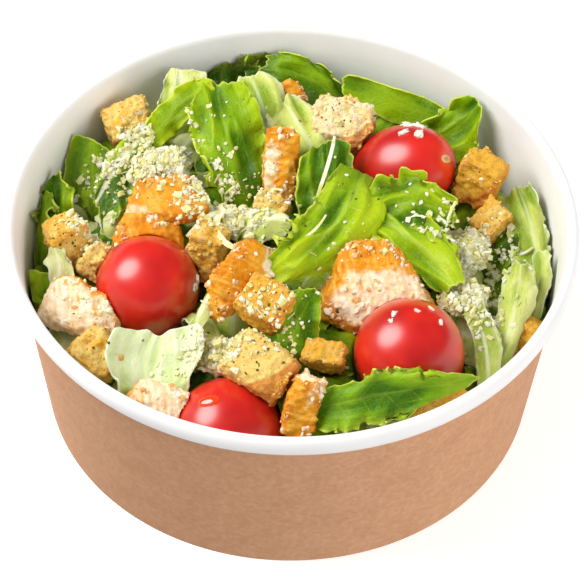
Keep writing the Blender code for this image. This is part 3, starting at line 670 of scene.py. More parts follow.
def leaf_solid(leaf, grid):
    """Points and faces of one leaf, both faces and its edge, and what its finish reads."""
    kind, root, _, tip, left, right = leaf[:6]
    look = LEAF_KINDS[kind]
    rows = int(np.clip(math.dist(root, tip) * 1.3 / grid, 16, MOST_ROWS))
    columns = int(np.clip(math.dist(left, right) * 1.15 / grid, 12, MOST_COLUMNS)) // 2 * 2
    sheet, s, t, rim, half, length, seed = leaf_sheet(leaf, rows, columns)
    normal = unit(np.cross(np.gradient(sheet, axis=0), np.gradient(sheet, axis=1)))
    if (normal @ TOWARDS_VIEWER).mean() < 0:
        normal = -normal
    lie = np.stack((s * length / FOLD_LENGTH, t * half / FOLD_WIDTH, np.full(s.shape, seed)), -1)
    fold = fields(lie, PLEATS) + 0.45 * (0.45 - abs(field(lie, 0.7, 4.0)) * 1.8)
    blade = np.clip((abs(t) - BLADE_START) / BLADE_EASE, 0, 1)
    bulge = abs(np.sin(np.pi * (look.veins * s - VEIN_SLANT * abs(t)))) - 0.5
    lumps = 0.12 * field(sheet, 2.2, seed + 7) + 0.20 * field(lie, 0.15, 5.0)
    rib = look.rib_depth * np.exp(-(t * half / look.rib_width) ** 2) * (1 - 0.7 * s)
    height = (look.quilting * bulge * (1 - 0.35 * abs(t)) + lumps) * blade - 0.35 * rib
    height = height + look.folding * fold * np.clip(s * 4, 0, 1)
    top = sheet + normal * (height + LEAF_THICKNESS / 2)[..., None]
    bottom = sheet + normal * (height - LEAF_THICKNESS / 2 - rib)[..., None]
    points = np.concatenate((top.reshape(-1, 3), bottom.reshape(-1, 3)))
    points = below_top(inside_bowl(clear_of_tomatoes(points, TOMATO_GAP), LEAF_WALL_GAP))
    tone = np.full(s.shape, (seed * 7.3) % 1.0)
    reads = []
    # The fold goes with each point to the finish, which paints shade in its hollows and light on its
    # ridges
    for under in (0.0 * s, 0.0 * s + 1.0):
        reads.append(np.stack((s, t, tone, rim, 0.5 + fold, under), -1).reshape(-1, 6))
    return points, slab_faces(rows, columns), np.concatenate(reads)


def filler_leaves():
    """Small leaves lying all over the core, to close the gaps between the large ones."""
    draw = random.Random(21)
    fillers = []
    for radius in FILLER_RINGS:
        count = round(2 * math.pi * radius / FILLER_SPACING)
        for step in range(count):
            angle = 2 * math.pi * (step + draw.uniform(-0.3, 0.3)) / count
            x, y = radius * math.cos(angle), radius * math.sin(angle)
            heading = draw.uniform(0, 2 * math.pi)
            if min(math.dist((x, y), tomato[0][:2]) for tomato in TOMATOES) < FILLER_TOMATO_GAP:
                continue
            dx, dy = math.cos(heading), math.sin(heading)
            reach, half = draw.uniform(*FILLER_REACH), draw.uniform(*FILLER_HALF)
            level, rise = heap_level(x, y), draw.uniform(*FILLER_RISE)
            root = (x - reach * dx, y - reach * dy, level - 2)
            tip = (x + reach * dx, y + reach * dy, level + rise)
            middle = (x, y, level + rise / 2 + 2)
            tilt = draw.uniform(-FILLER_TILT, FILLER_TILT)
            left = (x - half * dy, y + half * dx, level + tilt)
            right = (x + half * dy, y - half * dx, level + 1 - tilt)
            curls = (draw.uniform(0, FILLER_CURL), draw.uniform(0, FILLER_CURL))
            kind = draw.choice(FILLER_KINDS)
            frill = draw.uniform(*FILLER_FRILL)
            fillers.append((kind, root, middle, tip, left, right, frill, *curls))
    return fillers


def romaine_blade(kind):
    """Leaf: painted shade in its hollows and towards the root, painted light on ridges and raised
    wrinkles, and a painted highlight along the thin rim.
    """
    hollow_shade, blade, edge, rib_colour = LEAF_COLOURS[kind]
    look = LEAF_KINDS[kind]
    constants = {"Specular IOR Level": 0.22, "Subsurface Weight": 0.35, "Subsurface Scale": 0.002}
    constants["Subsurface Radius"] = (0.6, 1.0, 0.05)
    finish = Finish("romaine_" + kind, constants)
    s, t, tone = finish.split("blade")
    rim, fold, under = finish.split("lie")
    reach = abs(t)
    patch = finish.grain(9.0, 2.0)
    warp = finish.grain(5.0, 2.0) - 0.5
    net = finish.cells(2.4)
    fine = finish.cells(1.0)
    lie = finish.add("ShaderNodeCombineXYZ", None, {0: s * 5.0, 1: t * 14.0, 2: tone * 9.0})
    wrinkle = finish.grain(1 / MM, 4.0, 0.6, lie)
    path = s * float(look.veins) - reach * VEIN_SLANT + warp * 0.25
    from_vein = path.maths("PINGPONG", path, 0.5)
    vein = finish.smooth(from_vein, 0.06, 0.01) * finish.smooth(reach, 1.0, 0.7)
    rib_edge = look.rib_width * 0.085 * (1.15 - 0.7 * s)
    rib = finish.smooth(reach + warp * 0.06, rib_edge * 1.6, rib_edge * 0.5)
    # Painted light: high on the ridges of the folds and low in their hollows, with random patches and a
    # tone per leaf
    lit = fold + (patch - 0.5) * 0.8 + (tone - 0.5) * 0.35
    outer = reach + warp * 0.6 + (tone - 0.5) * 0.3
    # Painted shade in the hollows, the blade's green, painted light on the ridges, lighter towards the
    # edge, pale veins, then painted light on raised fine wrinkles and painted shade in sunken ones
    colour = finish.layered(
        hollow_shade,
        (lit, 0.22, 0.62, 1.0, blade),
        (lit, 0.60, 1.00, 0.7, edge),
        (outer, 0.55, 1.10, 0.7, edge),
        (fine, 0.12, 0.00, 0.05, rib_colour),
        (net, 0.07, 0.00, 0.07, rib_colour),
        (wrinkle, 0.56, 0.70, 0.28, edge),
        (wrinkle, 0.44, 0.30, 0.30, hollow_shade),
    )
    for share in (vein * look.vein, rib * look.rib, under * 0.15):
        colour = finish.blend(share, colour, rib_colour)
    # The painted highlight along the rim: the rib's colour on pale kinds, lime on the others
    rim_highlight = rib_colour if kind in PALE_RIMS else RIM_HIGHLIGHT_LIME
    # Painted shade towards the root, where the leaf goes down into the heap, and the painted highlight
    # along the rim
    colour = finish.layered(
        colour,
        (s, 0.30, 0.00, 0.55, hollow_shade),
        (rim, 0.50, 0.95, 0.65, rim_highlight),
    )
    height = finish.smooth(net, 0.0, 0.4) * 0.5 + finish.smooth(fine, 0.0, 0.35) * 0.3 - vein * 0.3
    height = height * (1 - rib) + finish.grain(0.6, 2.0) * 0.2 + wrinkle * 1.6
    return finish.made(colour, 0.28 + patch * 0.16 + under * 0.12, height, 0.13)


def joined(parts):
    """Points and faces of several shapes as those of one mesh."""
    points, faces = [], []
    count = 0
    for part_points, part_faces in parts:
        faces += [[count + i for i in face] for face in part_faces]
        points.append(part_points)
        count += len(part_points)
    return np.concatenate(points), faces


def keep_reads(mesh, reads):
    """Keeps at each point what a finish reads there, a number or three."""
    for name, values in reads.items():
        vector = values.ndim == 2
        layer = mesh.attributes.new(name, "FLOAT_VECTOR" if vector else "FLOAT", "POINT")
        layer.data.foreach_set("vector" if vector else "value", values.reshape(-1))


def lay_leaves(kind):
    """All the leaves of one kind, as one piece."""
    parts = [leaf_solid(leaf, LEAF_GRID) for leaf in LEAVES if leaf[0] == kind]
    parts += [leaf_solid(leaf, FILLER_GRID) for leaf in filler_leaves() if leaf[0] == kind]
    points, faces = joined(part[:2] for part in parts)
    obj = make_piece("leaves_" + kind, points, faces, romaine_blade(kind))
    reads = np.concatenate([part[2] for part in parts])
    keep_reads(obj.data, {"blade": reads[:, :3], "lie": reads[:, 3:]})
    settle(obj, "romaine", "lettuce_heap")
    return obj


leaves = [lay_leaves(kind) for kind in LEAF_KINDS]


# Cherry tomatoes. Whole, ripe and glossy; one turns its stalk end to the viewer, with the
# corky scar that the stalk left. The one at the front carries a drop of water.
TOMATO_SEGMENTS = 96
TOMATO_RINGS = 64
TOMATO_RED = (0.72, 0.016, 0.009)
TOMATO_DEEP = (0.54, 0.008, 0.007)
TOMATO_ORANGE = (0.82, 0.060, 0.012)
SCAR_TAN = (0.62, 0.33, 0.12)
SCAR_PALE = (0.82, 0.56, 0.30)
DROP_TOWARDS = (-0.33, -0.06, 0.94)
DROP_RED = (0.80, 0.055, 0.014)
DROP_ALONG = (0.95, -0.1, 0.30)
DROP_SIZE = (3.0, 1.8, 0.95)
DROP_SUNK = 0.3
DIMPLE_DEPTH = 0.05
DIMPLE_WIDTH = 0.35
TOMATO_UNEVEN = 0.012


def tomato_skin():
    constants = {"Specular IOR Level": 0.15, "Subsurface Weight": 0.08, "Coat Weight": 1.0}
    constants.update({"Subsurface Radius": (1.0, 0.2, 0.1), "Subsurface Scale": 0.002})
    constants.update({"Coat Roughness": 0.30, "Coat IOR": 1.7})
    finish = Finish("tomato_skin", constants)
    polar, angle, _ = finish.split("stalk")
    cloud = finish.grain(12.0, 2.0)
    oval = polar * (1 + angle.maths("SINE", angle * 2.0) * 0.28) + finish.grain(1.2, 2.0) * 0.03
    scar = finish.smooth(oval, 0.145, 0.12)
    colour = finish.layered(
        TOMATO_RED,
        (cloud, 0.35, 0.70, 1.0, TOMATO_DEEP),
        (polar + cloud * 0.2, 0.75, 0.15, 0.45, TOMATO_ORANGE),
        (finish.cells(0.9, "F1"), 0.16, 0.05, 0.12, TOMATO_ORANGE),
        (oval, 0.27, 0.13, 0.5, TOMATO_ORANGE),
        (oval, 0.145, 0.12, 1.0, SCAR_PALE),
        (oval + (finish.grain(0.5, 2.0) - 0.5) * 0.08, 0.10, 0.06, 1.0, SCAR_TAN),
    )
    height = cloud * 0.4 + scar * finish.grain(0.5, 2.0)
    return finish.made(colour, 0.24 + cloud * 0.10 + scar * 0.5, height, 0.25)


def make_tomato(name, tomato, material):
    """Rings round the axis from a dimple at the stalk end, kept with their two angles."""
    middle, half_length, half_width, axis, _ = tomato
    polar = np.linspace(0, np.pi, TOMATO_RINGS + 1)[1:-1, None]
    angle = np.linspace(0, 2 * np.pi, TOMATO_SEGMENTS, endpoint=False)[None, :]
    dimple = 1 - DIMPLE_DEPTH * np.exp(-(polar / DIMPLE_WIDTH) ** 2)
    wide = half_width * np.sin(polar)
    deep = half_length * dimple * np.cos(polar)
    points = np.stack((wide * np.cos(angle), wide * np.sin(angle), deep + 0 * angle), -1).reshape(-1, 3)
    stalk_end = (0, 0, half_length * (1 - DIMPLE_DEPTH))
    points = np.concatenate(([stalk_end], points, [(0, 0, -half_length)]))
    points = points * (1 + TOMATO_UNEVEN * field(points, 9.0, middle[0])[:, None])
    faces = closed_rings(TOMATO_RINGS - 1, TOMATO_SEGMENTS)
    turn = np.array(Vector(axis).to_track_quat("Z", "Y").to_matrix())
    obj = make_piece(name, points @ turn.T + np.array(middle, float), faces, material)
    angles = np.stack((polar + 0 * angle, angle + 0 * polar, 0 * polar * angle), -1).reshape(-1, 3)
    keep_reads(obj.data, {"stalk": np.concatenate(([(0, 0, 0)], angles, [(np.pi, 0, 0)]))})
    return obj


def ball(subdivisions, radius, place):
    """Points of a fine ball, each put where the call says, and the ball's faces."""
    bm = bmesh.new()
    bmesh.ops.create_icosphere(bm, subdivisions=subdivisions, radius=radius)
    points = [place(vert.co) for vert in bm.verts]
    faces = [[vert.index for vert in face.verts] for face in bm.faces]
    bm.free()
    return points, faces


def make_drop():
    """A flattened dome of water that sits on the skin of the last tomato."""
    constants = {"Specular IOR Level": 0.6, "Coat Weight": 1.0, "Coat Roughness": 0.04}
    finish = Finish("water_on_skin", constants)
    colour = finish.blend(finish.grain(3.0), DROP_RED, TOMATO_ORANGE)
    middle, _, half_width, _, _ = TOMATOES[-1]
    towards = Vector(DROP_TOWARDS).normalized()
    along = Vector(DROP_ALONG).cross(towards).cross(-towards).normalized()
    turn = Matrix((along, towards.cross(along), towards)).transposed()
    foot = Vector(middle) + towards * (half_width - 0.05)

    def place(spot):
        flat = Vector((spot.x, spot.y, max(spot.z, -DROP_SUNK))) * Vector(DROP_SIZE)
        return foot + turn @ flat

    material = finish.made(colour, 0.05 + finish.grain(1.0) * 0.02)
    return make_piece("water_drop", *ball(4, 1.0, place), material)


skin = tomato_skin()
tomatoes = []
for number, tomato in enumerate(TOMATOES, 1):
    tomatoes.append(make_tomato("cherry_tomato_%d" % number, tomato, skin))
    settle(tomatoes[-1], "tomato_skin", "tomato_%d" % number)
settle(make_drop(), "tomato_skin", "tomato_4")


# Chicken. Slices of breast seared orange brown outside; where the knife or the fork went
# through, the meat is pale and shows its fibres.
MEAT_VOXEL = 0.45
WELD = 0.00001
TOPPING_GAP = 0.5
MEAT_ORANGE = (0.80, 0.315, 0.010)
MEAT_SEARED = (0.58, 0.155, 0.006)
MEAT_PALE = (0.90, 0.66, 0.38)
MEAT_LIGHT = (0.94, 0.80, 0.60)
MEAT_GROOVE = (0.84, 0.49, 0.16)
MEAT_GOLD = (0.88, 0.51, 0.080)

# Each piece: middle, size, turn in degrees about X, Y and Z, and its pale part as the
# middle and radius of a spot, in half sizes of the piece
CHICKEN = (
    ((-33, 12, 53), (24, 13, 6.5), (24, -6, 8), (-0.9, -0.9, 0.3), 0.85),
    ((-37, 4, 50), (20, 11, 6), (40, 6, 4), (1.0, -1.0, 0.0), 0.35),
    ((-3, 25, 54), (9.5, 7, 20), (-48, 8, 4), (-0.5, -0.6, 0.0), 0.50),
    ((-13, -14, 54), (31, 13, 6.5), (42, -6, 52), (0.8, -0.7, 0.6), 0.85),
    ((-53, -19, 44), (23, 14, 9), (22, 14, -20), (-0.4, -0.5, 0.6), 1.25),
    ((27, -13, 47), (41, 25, 14), (38, 6, -8), (-0.05, -0.25, 0.9), 0.66),
    ((4, -50, 45), (9, 8, 17), (-30, 12, -8), (0.2, 0.2, 0.3), 0.95),
    ((-32, -47, 42), (18, 9, 7), (25, 6, -14), (0.2, 0.2, 0.8), 1.10),
    ((-1, 55, 50), (8, 5, 9), (-35, -10, 20), (0.0, 0.0, -1.0), 0.40),
)


def finished_mesh(obj):
    """The plain mesh that an object's modifiers make."""
    graph = bpy.context.evaluated_depsgraph_get()
    return bpy.data.meshes.new_from_object(obj.evaluated_get(graph))


def refined(node, voxel):
    """A closed, evenly meshed copy of a CAD node: points in millimetres, normals, faces."""
    copy = add_object("refined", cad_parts[node].data.copy())
    bm = bmesh.new()
    bm.from_mesh(copy.data)
    bmesh.ops.remove_doubles(bm, verts=bm.verts, dist=WELD)
    bm.to_mesh(copy.data)
    bm.free()
    remesh = copy.modifiers.new("remesh", "REMESH")
    remesh.mode = "VOXEL"
    remesh.voxel_size = voxel * MM
    soften = copy.modifiers.new("soften", "SMOOTH")
    soften.factor = 0.5
    soften.iterations = 3
    mesh = finished_mesh(copy)
    points = np.array([vert.co for vert in mesh.vertices]) / MM
    normals = np.array([vert.normal for vert in mesh.vertices])
    faces = [tuple(face.vertices) for face in mesh.polygons]
    bpy.data.objects.remove(copy, do_unlink=True)
    bpy.data.meshes.remove(mesh)
    return points, normals, faces


def own_frame(points, middle, turn):
    """Points seen from the middle of a piece, along its own axes."""
    matrix = np.array(Euler([math.radians(a) for a in turn]).to_matrix())
    return (points - np.array(middle, float)) @ matrix


def seared_meat():
    finish = Finish("seared_meat", {"Specular IOR Level": 0.20, "Subsurface Weight": 0.05,
                                    "Subsurface Radius": (1.0, 0.5, 0.25), "Subsurface Scale": 0.0015})
    pale, fibre, raised = (finish.attribute(name) for name in ("pale", "fibre", "raised"))
    blotch = finish.grain(3.5, 3.0)
    grit = finish.grain(0.7, 3.0, 0.6)
    seared = finish.layered(
        MEAT_ORANGE,
        (raised + blotch * 0.8, 0.55, 1.25, 0.85, MEAT_SEARED),
        (fibre + grit * 0.5, 0.60, 1.15, 0.75, MEAT_GOLD),
        (grit, 0.62, 0.75, 0.60, MEAT_SEARED),
    )
    inside = finish.layered(
        MEAT_GROOVE,
        (fibre, 0.10, 0.36, 1.0, MEAT_PALE),
        (fibre, 0.30, 0.70, 1.0, MEAT_LIGHT),
        (blotch, 0.56, 0.80, 0.5, MEAT_GOLD),
    )
    uneven = pale + (blotch - 0.5) * 0.9 + (grit - 0.5) * 0.12
    colour = finish.layered(seared, (uneven, 0.35, 0.62, 1.0, inside))
    height = grit * 0.6 + finish.grain(0.35, 2.0) * 0.4
    return finish.made(colour, 0.42 + blotch * 0.25, height, 0.30)


def fibrous(points, local, seed):
    """Strands of meat: noise drawn out aslant across the piece, from 0 to 1."""
    slant = np.array((local[:, 0] + 0.45 * local[:, 1], 0.16 * local[:, 1], 0.5 * local[:, 2])).T
    drawn = slant + 0.35 * field(points, 5.0, seed)[:, None]
    return 0.5 + fields(drawn, ((0.55, 1.1, seed), (0.30, 0.5, seed + 3)))


def make_meat(number, piece, material):
    middle, size, turn, spot, radius = piece
    name = "chicken_%d" % number
    points, normals, faces = refined(name, MEAT_VOXEL)
    local = own_frame(points, middle, turn)
    along = local if max(size) == size[0] else local[:, (2, 1, 0)]
    fibre = fibrous(points, along, number * 4.7)
    lumps = field(points, 2.6, number)
    crags = abs(field(points, 1.4, number + 9))
    share = local / (np.array(size, float) / 2)
    away = np.linalg.norm((share - np.array(spot)) * (1, 1, 0.6), axis=1) / radius
    edge = np.sort(abs(share), axis=1)[:, 1]
    torn = 1.3 * np.clip(edge, 0, 1) ** 3 * field(points, 1.8, number + 4)
    bulk = min(1.0, 0.35 + min(size) / 12)
    relief = 0.55 * (fibre - 0.55) + 0.45 * lumps - 0.6 * crags + torn
    moved = points + normals * (bulk * relief)[:, None]
    obj = make_piece("seared_" + name, below_top(inside_bowl(moved, TOPPING_GAP)), faces, material)
    raised = 0.6 * edge + 0.5 * lumps
    pale = np.clip(1.5 - away, 0, 1)
    keep_reads(obj.data, {"pale": pale, "fibre": fibre, "raised": raised, "edge": edge})
    settle(obj, "seared_chicken", name)
    return obj


meat = seared_meat()
chicken = [make_meat(number, piece, meat) for number, piece in enumerate(CHICKEN, 1)]


# Croutons. Cubes of white bread fried with oil and herbs: open crumb on the faces, darker
# where the edges and the crust caught the heat. Painted shade darkens the pores and the lower
# front right part of each, away from the back-left light.
BREAD_VOXEL = 0.40
BREAD_GOLD = (0.74, 0.395, 0.040)
BREAD_CRUMB = (0.81, 0.57, 0.165)
BREAD_CREAM = (0.90, 0.73, 0.47)
# Colour of real toast on edges and specks, and also of painted shade
BREAD_TOAST_AND_SHADE = (0.62, 0.215, 0.035)
BREAD_HERB = (0.10, 0.13, 0.02)
# Way down and to the front right, away from the back-left light, towards which painted shade darkens each
# crouton
SHADED_SIDE_WAY = np.array((0.45, -0.55, -0.70))

# Each crouton: middle, size, turn in degrees about X, Y and Z, how pale it stayed, how
# much painted shade darkens its part away from the light, and how deep it is torn, in millimetres
CROUTONS = (
    ((-44, 44, 50), (13, 12, 10), (24, -12, 18), 0.65, 0.6, 0.8),
    ((-58, 3, 45), (11.5, 10, 17), (-20, -6, 24), 0.55, 0.7, 0.9),
    ((-50, -3, 46), (9, 8, 10), (-20, 24, -30), 0.90, 0.3, 1.6),
    ((-22, -1, 49), (10, 10, 14), (-14, 8, -22), 0.55, 0.4, 1.0),
    ((13, 43, 51), (17, 14, 13), (12, 6, -14), 1.40, 1.6, 2.0),
    ((50, 25, 51), (12, 9, 14.5), (-10, 12, -24), 0.30, 0.6, 1.2),
    ((53, 14, 46), (10, 9, 9), (8, -22, 40), 0.55, 0.3, 1.0),
    ((-5, 11, 53), (9, 7, 6), (28, 14, -34), 0.70, 0.4, 1.2),
    ((-6, -25, 55), (14, 12, 10), (20, 14, -28), 0.35, 0.4, 1.0),
    ((-7, -41, 49), (18, 14, 12), (26, 18, -30), 0.85, 1.6, 0.9),
    ((-49, -33, 43), (13, 12, 11), (16, 22, -34), 0.65, 0.3, 1.6),
    ((9, -35, 47), (12, 7, 7), (14, 6, -8), 0.45, 0.3, 1.4),
    ((37, -49, 41), (22, 8, 7), (34, 0, 28), 0.40, 0.1, 0.9),
    ((62, -21, 39), (9, 8, 11), (6, 30, 44), 0.30, 0.4, 0.9),
)


def fried_bread():
    finish = Finish("fried_bread", {"Specular IOR Level": 0.22})
    pale, edge, pit, side_shade = (finish.attribute(name) for name in ("pale", "edge", "pit", "side_shade"))
    blotch = finish.grain(3.2, 3.0)
    grit = finish.grain(0.6, 3.0, 0.65)
    colour = finish.layered(
        BREAD_GOLD,
        (pale + (blotch - 0.5) * 1.4, 0.35, 0.80, 1.0, BREAD_CRUMB),
        (pale + (blotch - 0.5) * 1.2, 1.00, 1.60, 1.0, BREAD_CREAM),
        # Toasted edges, with painted shade on the part away from the light; painted shade in the pores;
        # toasted specks
        (edge + (blotch - 0.5) * 0.9 - pale * 0.25 + side_shade * 0.9, 0.66, 1.05, 0.85, BREAD_TOAST_AND_SHADE),
        (pit, 0.25, 0.90, 0.55, BREAD_TOAST_AND_SHADE),
        (grit, 0.60, 0.72, 0.35, BREAD_TOAST_AND_SHADE),
        (finish.cells(1.7, "F1"), 0.20, 0.14, finish.smooth(blotch, 0.50, 0.60) * 0.8, BREAD_HERB),
    )
    height = grit * 0.7 - finish.smooth(finish.cells(0.7, "F1"), 0.4, 0.1) * 0.5
    return finish.made(colour, 0.55 + grit * 0.25, height, 0.30)


def pores(points, size, seed):
    """Depth of the open cells of the crumb, from 0 between them to 1 at their middles."""
    near = np.array([noise.voronoi(Vector(p))[0][0] for p in points / size + seed])
    return np.clip(1 - near / 0.55, 0, 1)


def make_bread(number, piece, material):
    middle, size, turn, pale, side_shade, torn = piece
    name = "crouton_%02d" % number
    points, normals, faces = refined(name, BREAD_VOXEL)
    share = own_frame(points, middle, turn) / (np.array(size, float) / 2)
    # How far each point lies towards the shaded way, for the painted shade
    toward_shaded_side = (points - np.array(middle, float)) @ SHADED_SIDE_WAY / (sum(size) / 6)
    side = np.clip((toward_shaded_side - 0.10) / 0.45, 0, 1)
    edge = np.sort(abs(share), axis=1)[:, 1]
    pit = pores(points, 1.9, number) * (0.5 + 0.5 * field(points, 5.0, number + 2))
    lumps = fields(points, ((0.75 * torn, 3.4, number), (0.5, 1.3, number)))
    moved = points + normals * (lumps - 1.0 * pit - 0.05)[:, None]
    obj = make_piece("fried_" + name, below_top(inside_bowl(moved, TOPPING_GAP)), faces, material)
    pale = np.full(len(points), pale)
    keep_reads(obj.data, {"pale": pale, "edge": edge, "pit": pit, "side_shade": side_shade * side})
    settle(obj, "toasted_bread", name)
    return obj


bread = fried_bread()
croutons = [make_bread(number, piece, bread) for number, piece in enumerate(CROUTONS, 1)]


# Grated cheese. Hard cheese off a fine grater: drifts of lumps, crumbs and short shreds
# over a lumpy bed of more, and loose crumbs wherever they fell.
CHEESE_IVORY = (0.95, 0.93, 0.66)
CHEESE_CREAM = (0.90, 0.87, 0.72)
CHEESE_SHADE = (0.82, 0.77, 0.30)
BED_FINENESS = 6
BED_GRAINS = ((1.0, 0.55), (0.6, 1.2))
DROP_HEIGHT = 0.2
DOWN = Vector((0, 0, -1))
RIM_MARGIN = 8.0
TOP_MARGIN = 1.5
TOMATO_MARGIN = 1.0
STEEPEST_REST = 0.25

# Bed of each drift: middle, and size from side to side, front to back and in height
CHEESE_DRIFTS = (
    ((-35, 26, 51), (18, 13, 7)),
    ((-16, 8, 49), (14, 10, 6)),
    ((46, 2, 46), (18, 12, 7)),
    ((45, -14, 46), (11, 14, 6)),
    ((-17, -35, 45), (12, 11, 7)),
    ((-54, 4, 42), (8, 8, 5)),
)

# Grains: how long and thick, how deep their dents are, least and most share of that size,
# and seed
GRAIN_INPUTS = ("Length", "Thickness", "Dent", "Small", "Large", "Seed")
LUMP = (0.0, 1.0, 1.6, 0.50, 1.25, 3)
CRUMB = (0.0, 0.52, 1.0, 0.40, 1.7, 7)
SHRED = (3.0, 0.65, 0.45, 0.45, 1.6, 5)
MEAT_BIT = (0.0, 0.50, 1.5, 0.35, 1.9, 17)
BREAD_BIT = (0.0, 0.45, 0.9, 0.4, 1.4, 19)

# Where loose cheese fell: middle, reach in X and Y, and how many lumps, crumbs and shreds
CHEESE_FALLS = (
    ((-40, 29), (15, 13), 230, 520, 20),
    ((-17, 10), (14, 10), 150, 360, 16),
    ((46, 1), (14, 10), 160, 420, 20),
    ((47, -14), (9, 13), 150, 340, 16),
    ((-19, -37), (9, 8), 90, 280, 8),
    ((-54, 3), (6, 6), 20, 130, 8),
    ((-22, 18), (10, 8), 60, 200, 6),
    ((-50, -20), (12, 9), 4, 90, 0),
    ((26, -12), (15, 10), 2, 60, 2),
    ((13, 43), (8, 7), 4, 60, 0),
    ((-6, -30), (10, 12), 10, 160, 4),
    ((0, 0), (62, 58), 4, 120, 8),
)

# How many of each lie on the first drift; the others carry as many for their size
DRIFT_LAYER = (330, 360, 16)


def cheese_paste(name, light, shade):
    finish = Finish(name, {"Specular IOR Level": 0.3, "Subsurface Weight": 0.4,
                           "Subsurface Radius": (1.0, 0.95, 0.45), "Subsurface Scale": 0.0030})
    patch = finish.grain(2.6, 1.0)
    colour = finish.layered(light, (patch, 0.38, 0.62, 1.0, shade))
    return finish.made(colour, 0.45 + patch * 0.2, finish.grain(0.4, 3.0, 0.6), 0.12)


def drift_bed(number, middle, size):
    turn = Euler((0, 0, math.radians(20 * number)))

    def place(spot):
        swell = 1 + 0.25 * noise.noise(spot * 3 + Vector((number * 5.0, 0, 0)))
        moved = Vector([spot[i] * size[i] * swell * 0.9 for i in range(3)])
        grains = sum(weight * noise.noise(moved * often) for weight, often in BED_GRAINS)
        moved += spot.normalized() * grains
        moved.rotate(turn)
        return Vector(middle) + moved

    return ball(BED_FINENESS, 0.5, place)


def make_beds(material):
    """The lumpy bodies of the drifts, as one piece."""
    beds = [drift_bed(number, *drift) for number, drift in enumerate(CHEESE_DRIFTS, 1)]
    return make_piece("cheese_beds", *joined(beds), material)


def landing(pieces):
    """A search tree over finished pieces, for what falls on them."""
    parts = []
    for obj in pieces:
        points = [vert.co for vert in obj.data.vertices]
        parts.append((points, [face.vertices for face in obj.data.polygons]))
    points, faces = joined(parts)
    return BVHTree.FromPolygons(points.tolist(), faces)


def fall(tree, draw, middle, reach, count, lift=0.0):
    """Spots where grains that fall round a place come to rest, with the way up there."""
    spots = []
    for _ in range(count):
        x = draw.gauss(middle[0], reach[0] * 0.5)
        y = draw.gauss(middle[1], reach[1] * 0.5)
        if math.hypot(x, y) > wall_radius(BOWL_HEIGHT) - RIM_MARGIN:
            continue
        spot, normal, _, _ = tree.ray_cast(Vector((x * MM, y * MM, DROP_HEIGHT)), DOWN)
        if not spot or normal.z < STEEPEST_REST:
            continue
        bare = min((spot / MM - Vector(tomato[0])).length - tomato[1] for tomato in TOMATOES)
        if bare > TOMATO_MARGIN and spot.z < (LEAF_TOP - TOP_MARGIN) * MM:
            spots.append((spot + normal * draw.uniform(0, lift) * MM, normal))
    return spots


class Recipe(Tree):
    """A Geometry Nodes tree with named inputs, and its modifier's values by name."""

    def __init__(self, name, inputs):
        group = bpy.data.node_groups.new(name, "GeometryNodeTree")
        super().__init__(group)
        group.interface.new_socket("Geometry", in_out="OUTPUT", socket_type="NodeSocketGeometry")
        group.interface.new_socket("Geometry", in_out="INPUT", socket_type="NodeSocketGeometry")
        for key, kind in inputs.items():
            group.interface.new_socket(key, in_out="INPUT", socket_type="NodeSocket" + kind)
        self.start = group.nodes.new("NodeGroupInput")
        self.end = group.nodes.new("NodeGroupOutput")

    def given(self, name):
        return Link(self, self.start.outputs[name])

    def make(self, name, spots, grain, material):
        """Runs the tree on spots with their way up, and returns the plain mesh object."""
        mesh = bpy.data.meshes.new(name)
        mesh.from_pydata([spot for spot, _ in spots], [], [])
        keep_reads(mesh, {"up": np.array([way for _, way in spots])})
        obj = add_object(name, mesh)
        modifier = obj.modifiers.new("grains", "NODES")
        modifier.node_group = self.nodes
        values = {key: value * MM if key in ("Length", "Thickness", "Dent") else value
                  for key, value in zip(GRAIN_INPUTS, grain)}
        values["Material"] = material
        for item in self.nodes.interface.items_tree:
            if item.in_out == "INPUT" and item.name in values:
                modifier[item.identifier] = values[item.name]
        result = finished_mesh(obj)
        obj.modifiers.remove(modifier)
        obj.data = result
        bpy.data.meshes.remove(mesh)
        return obj


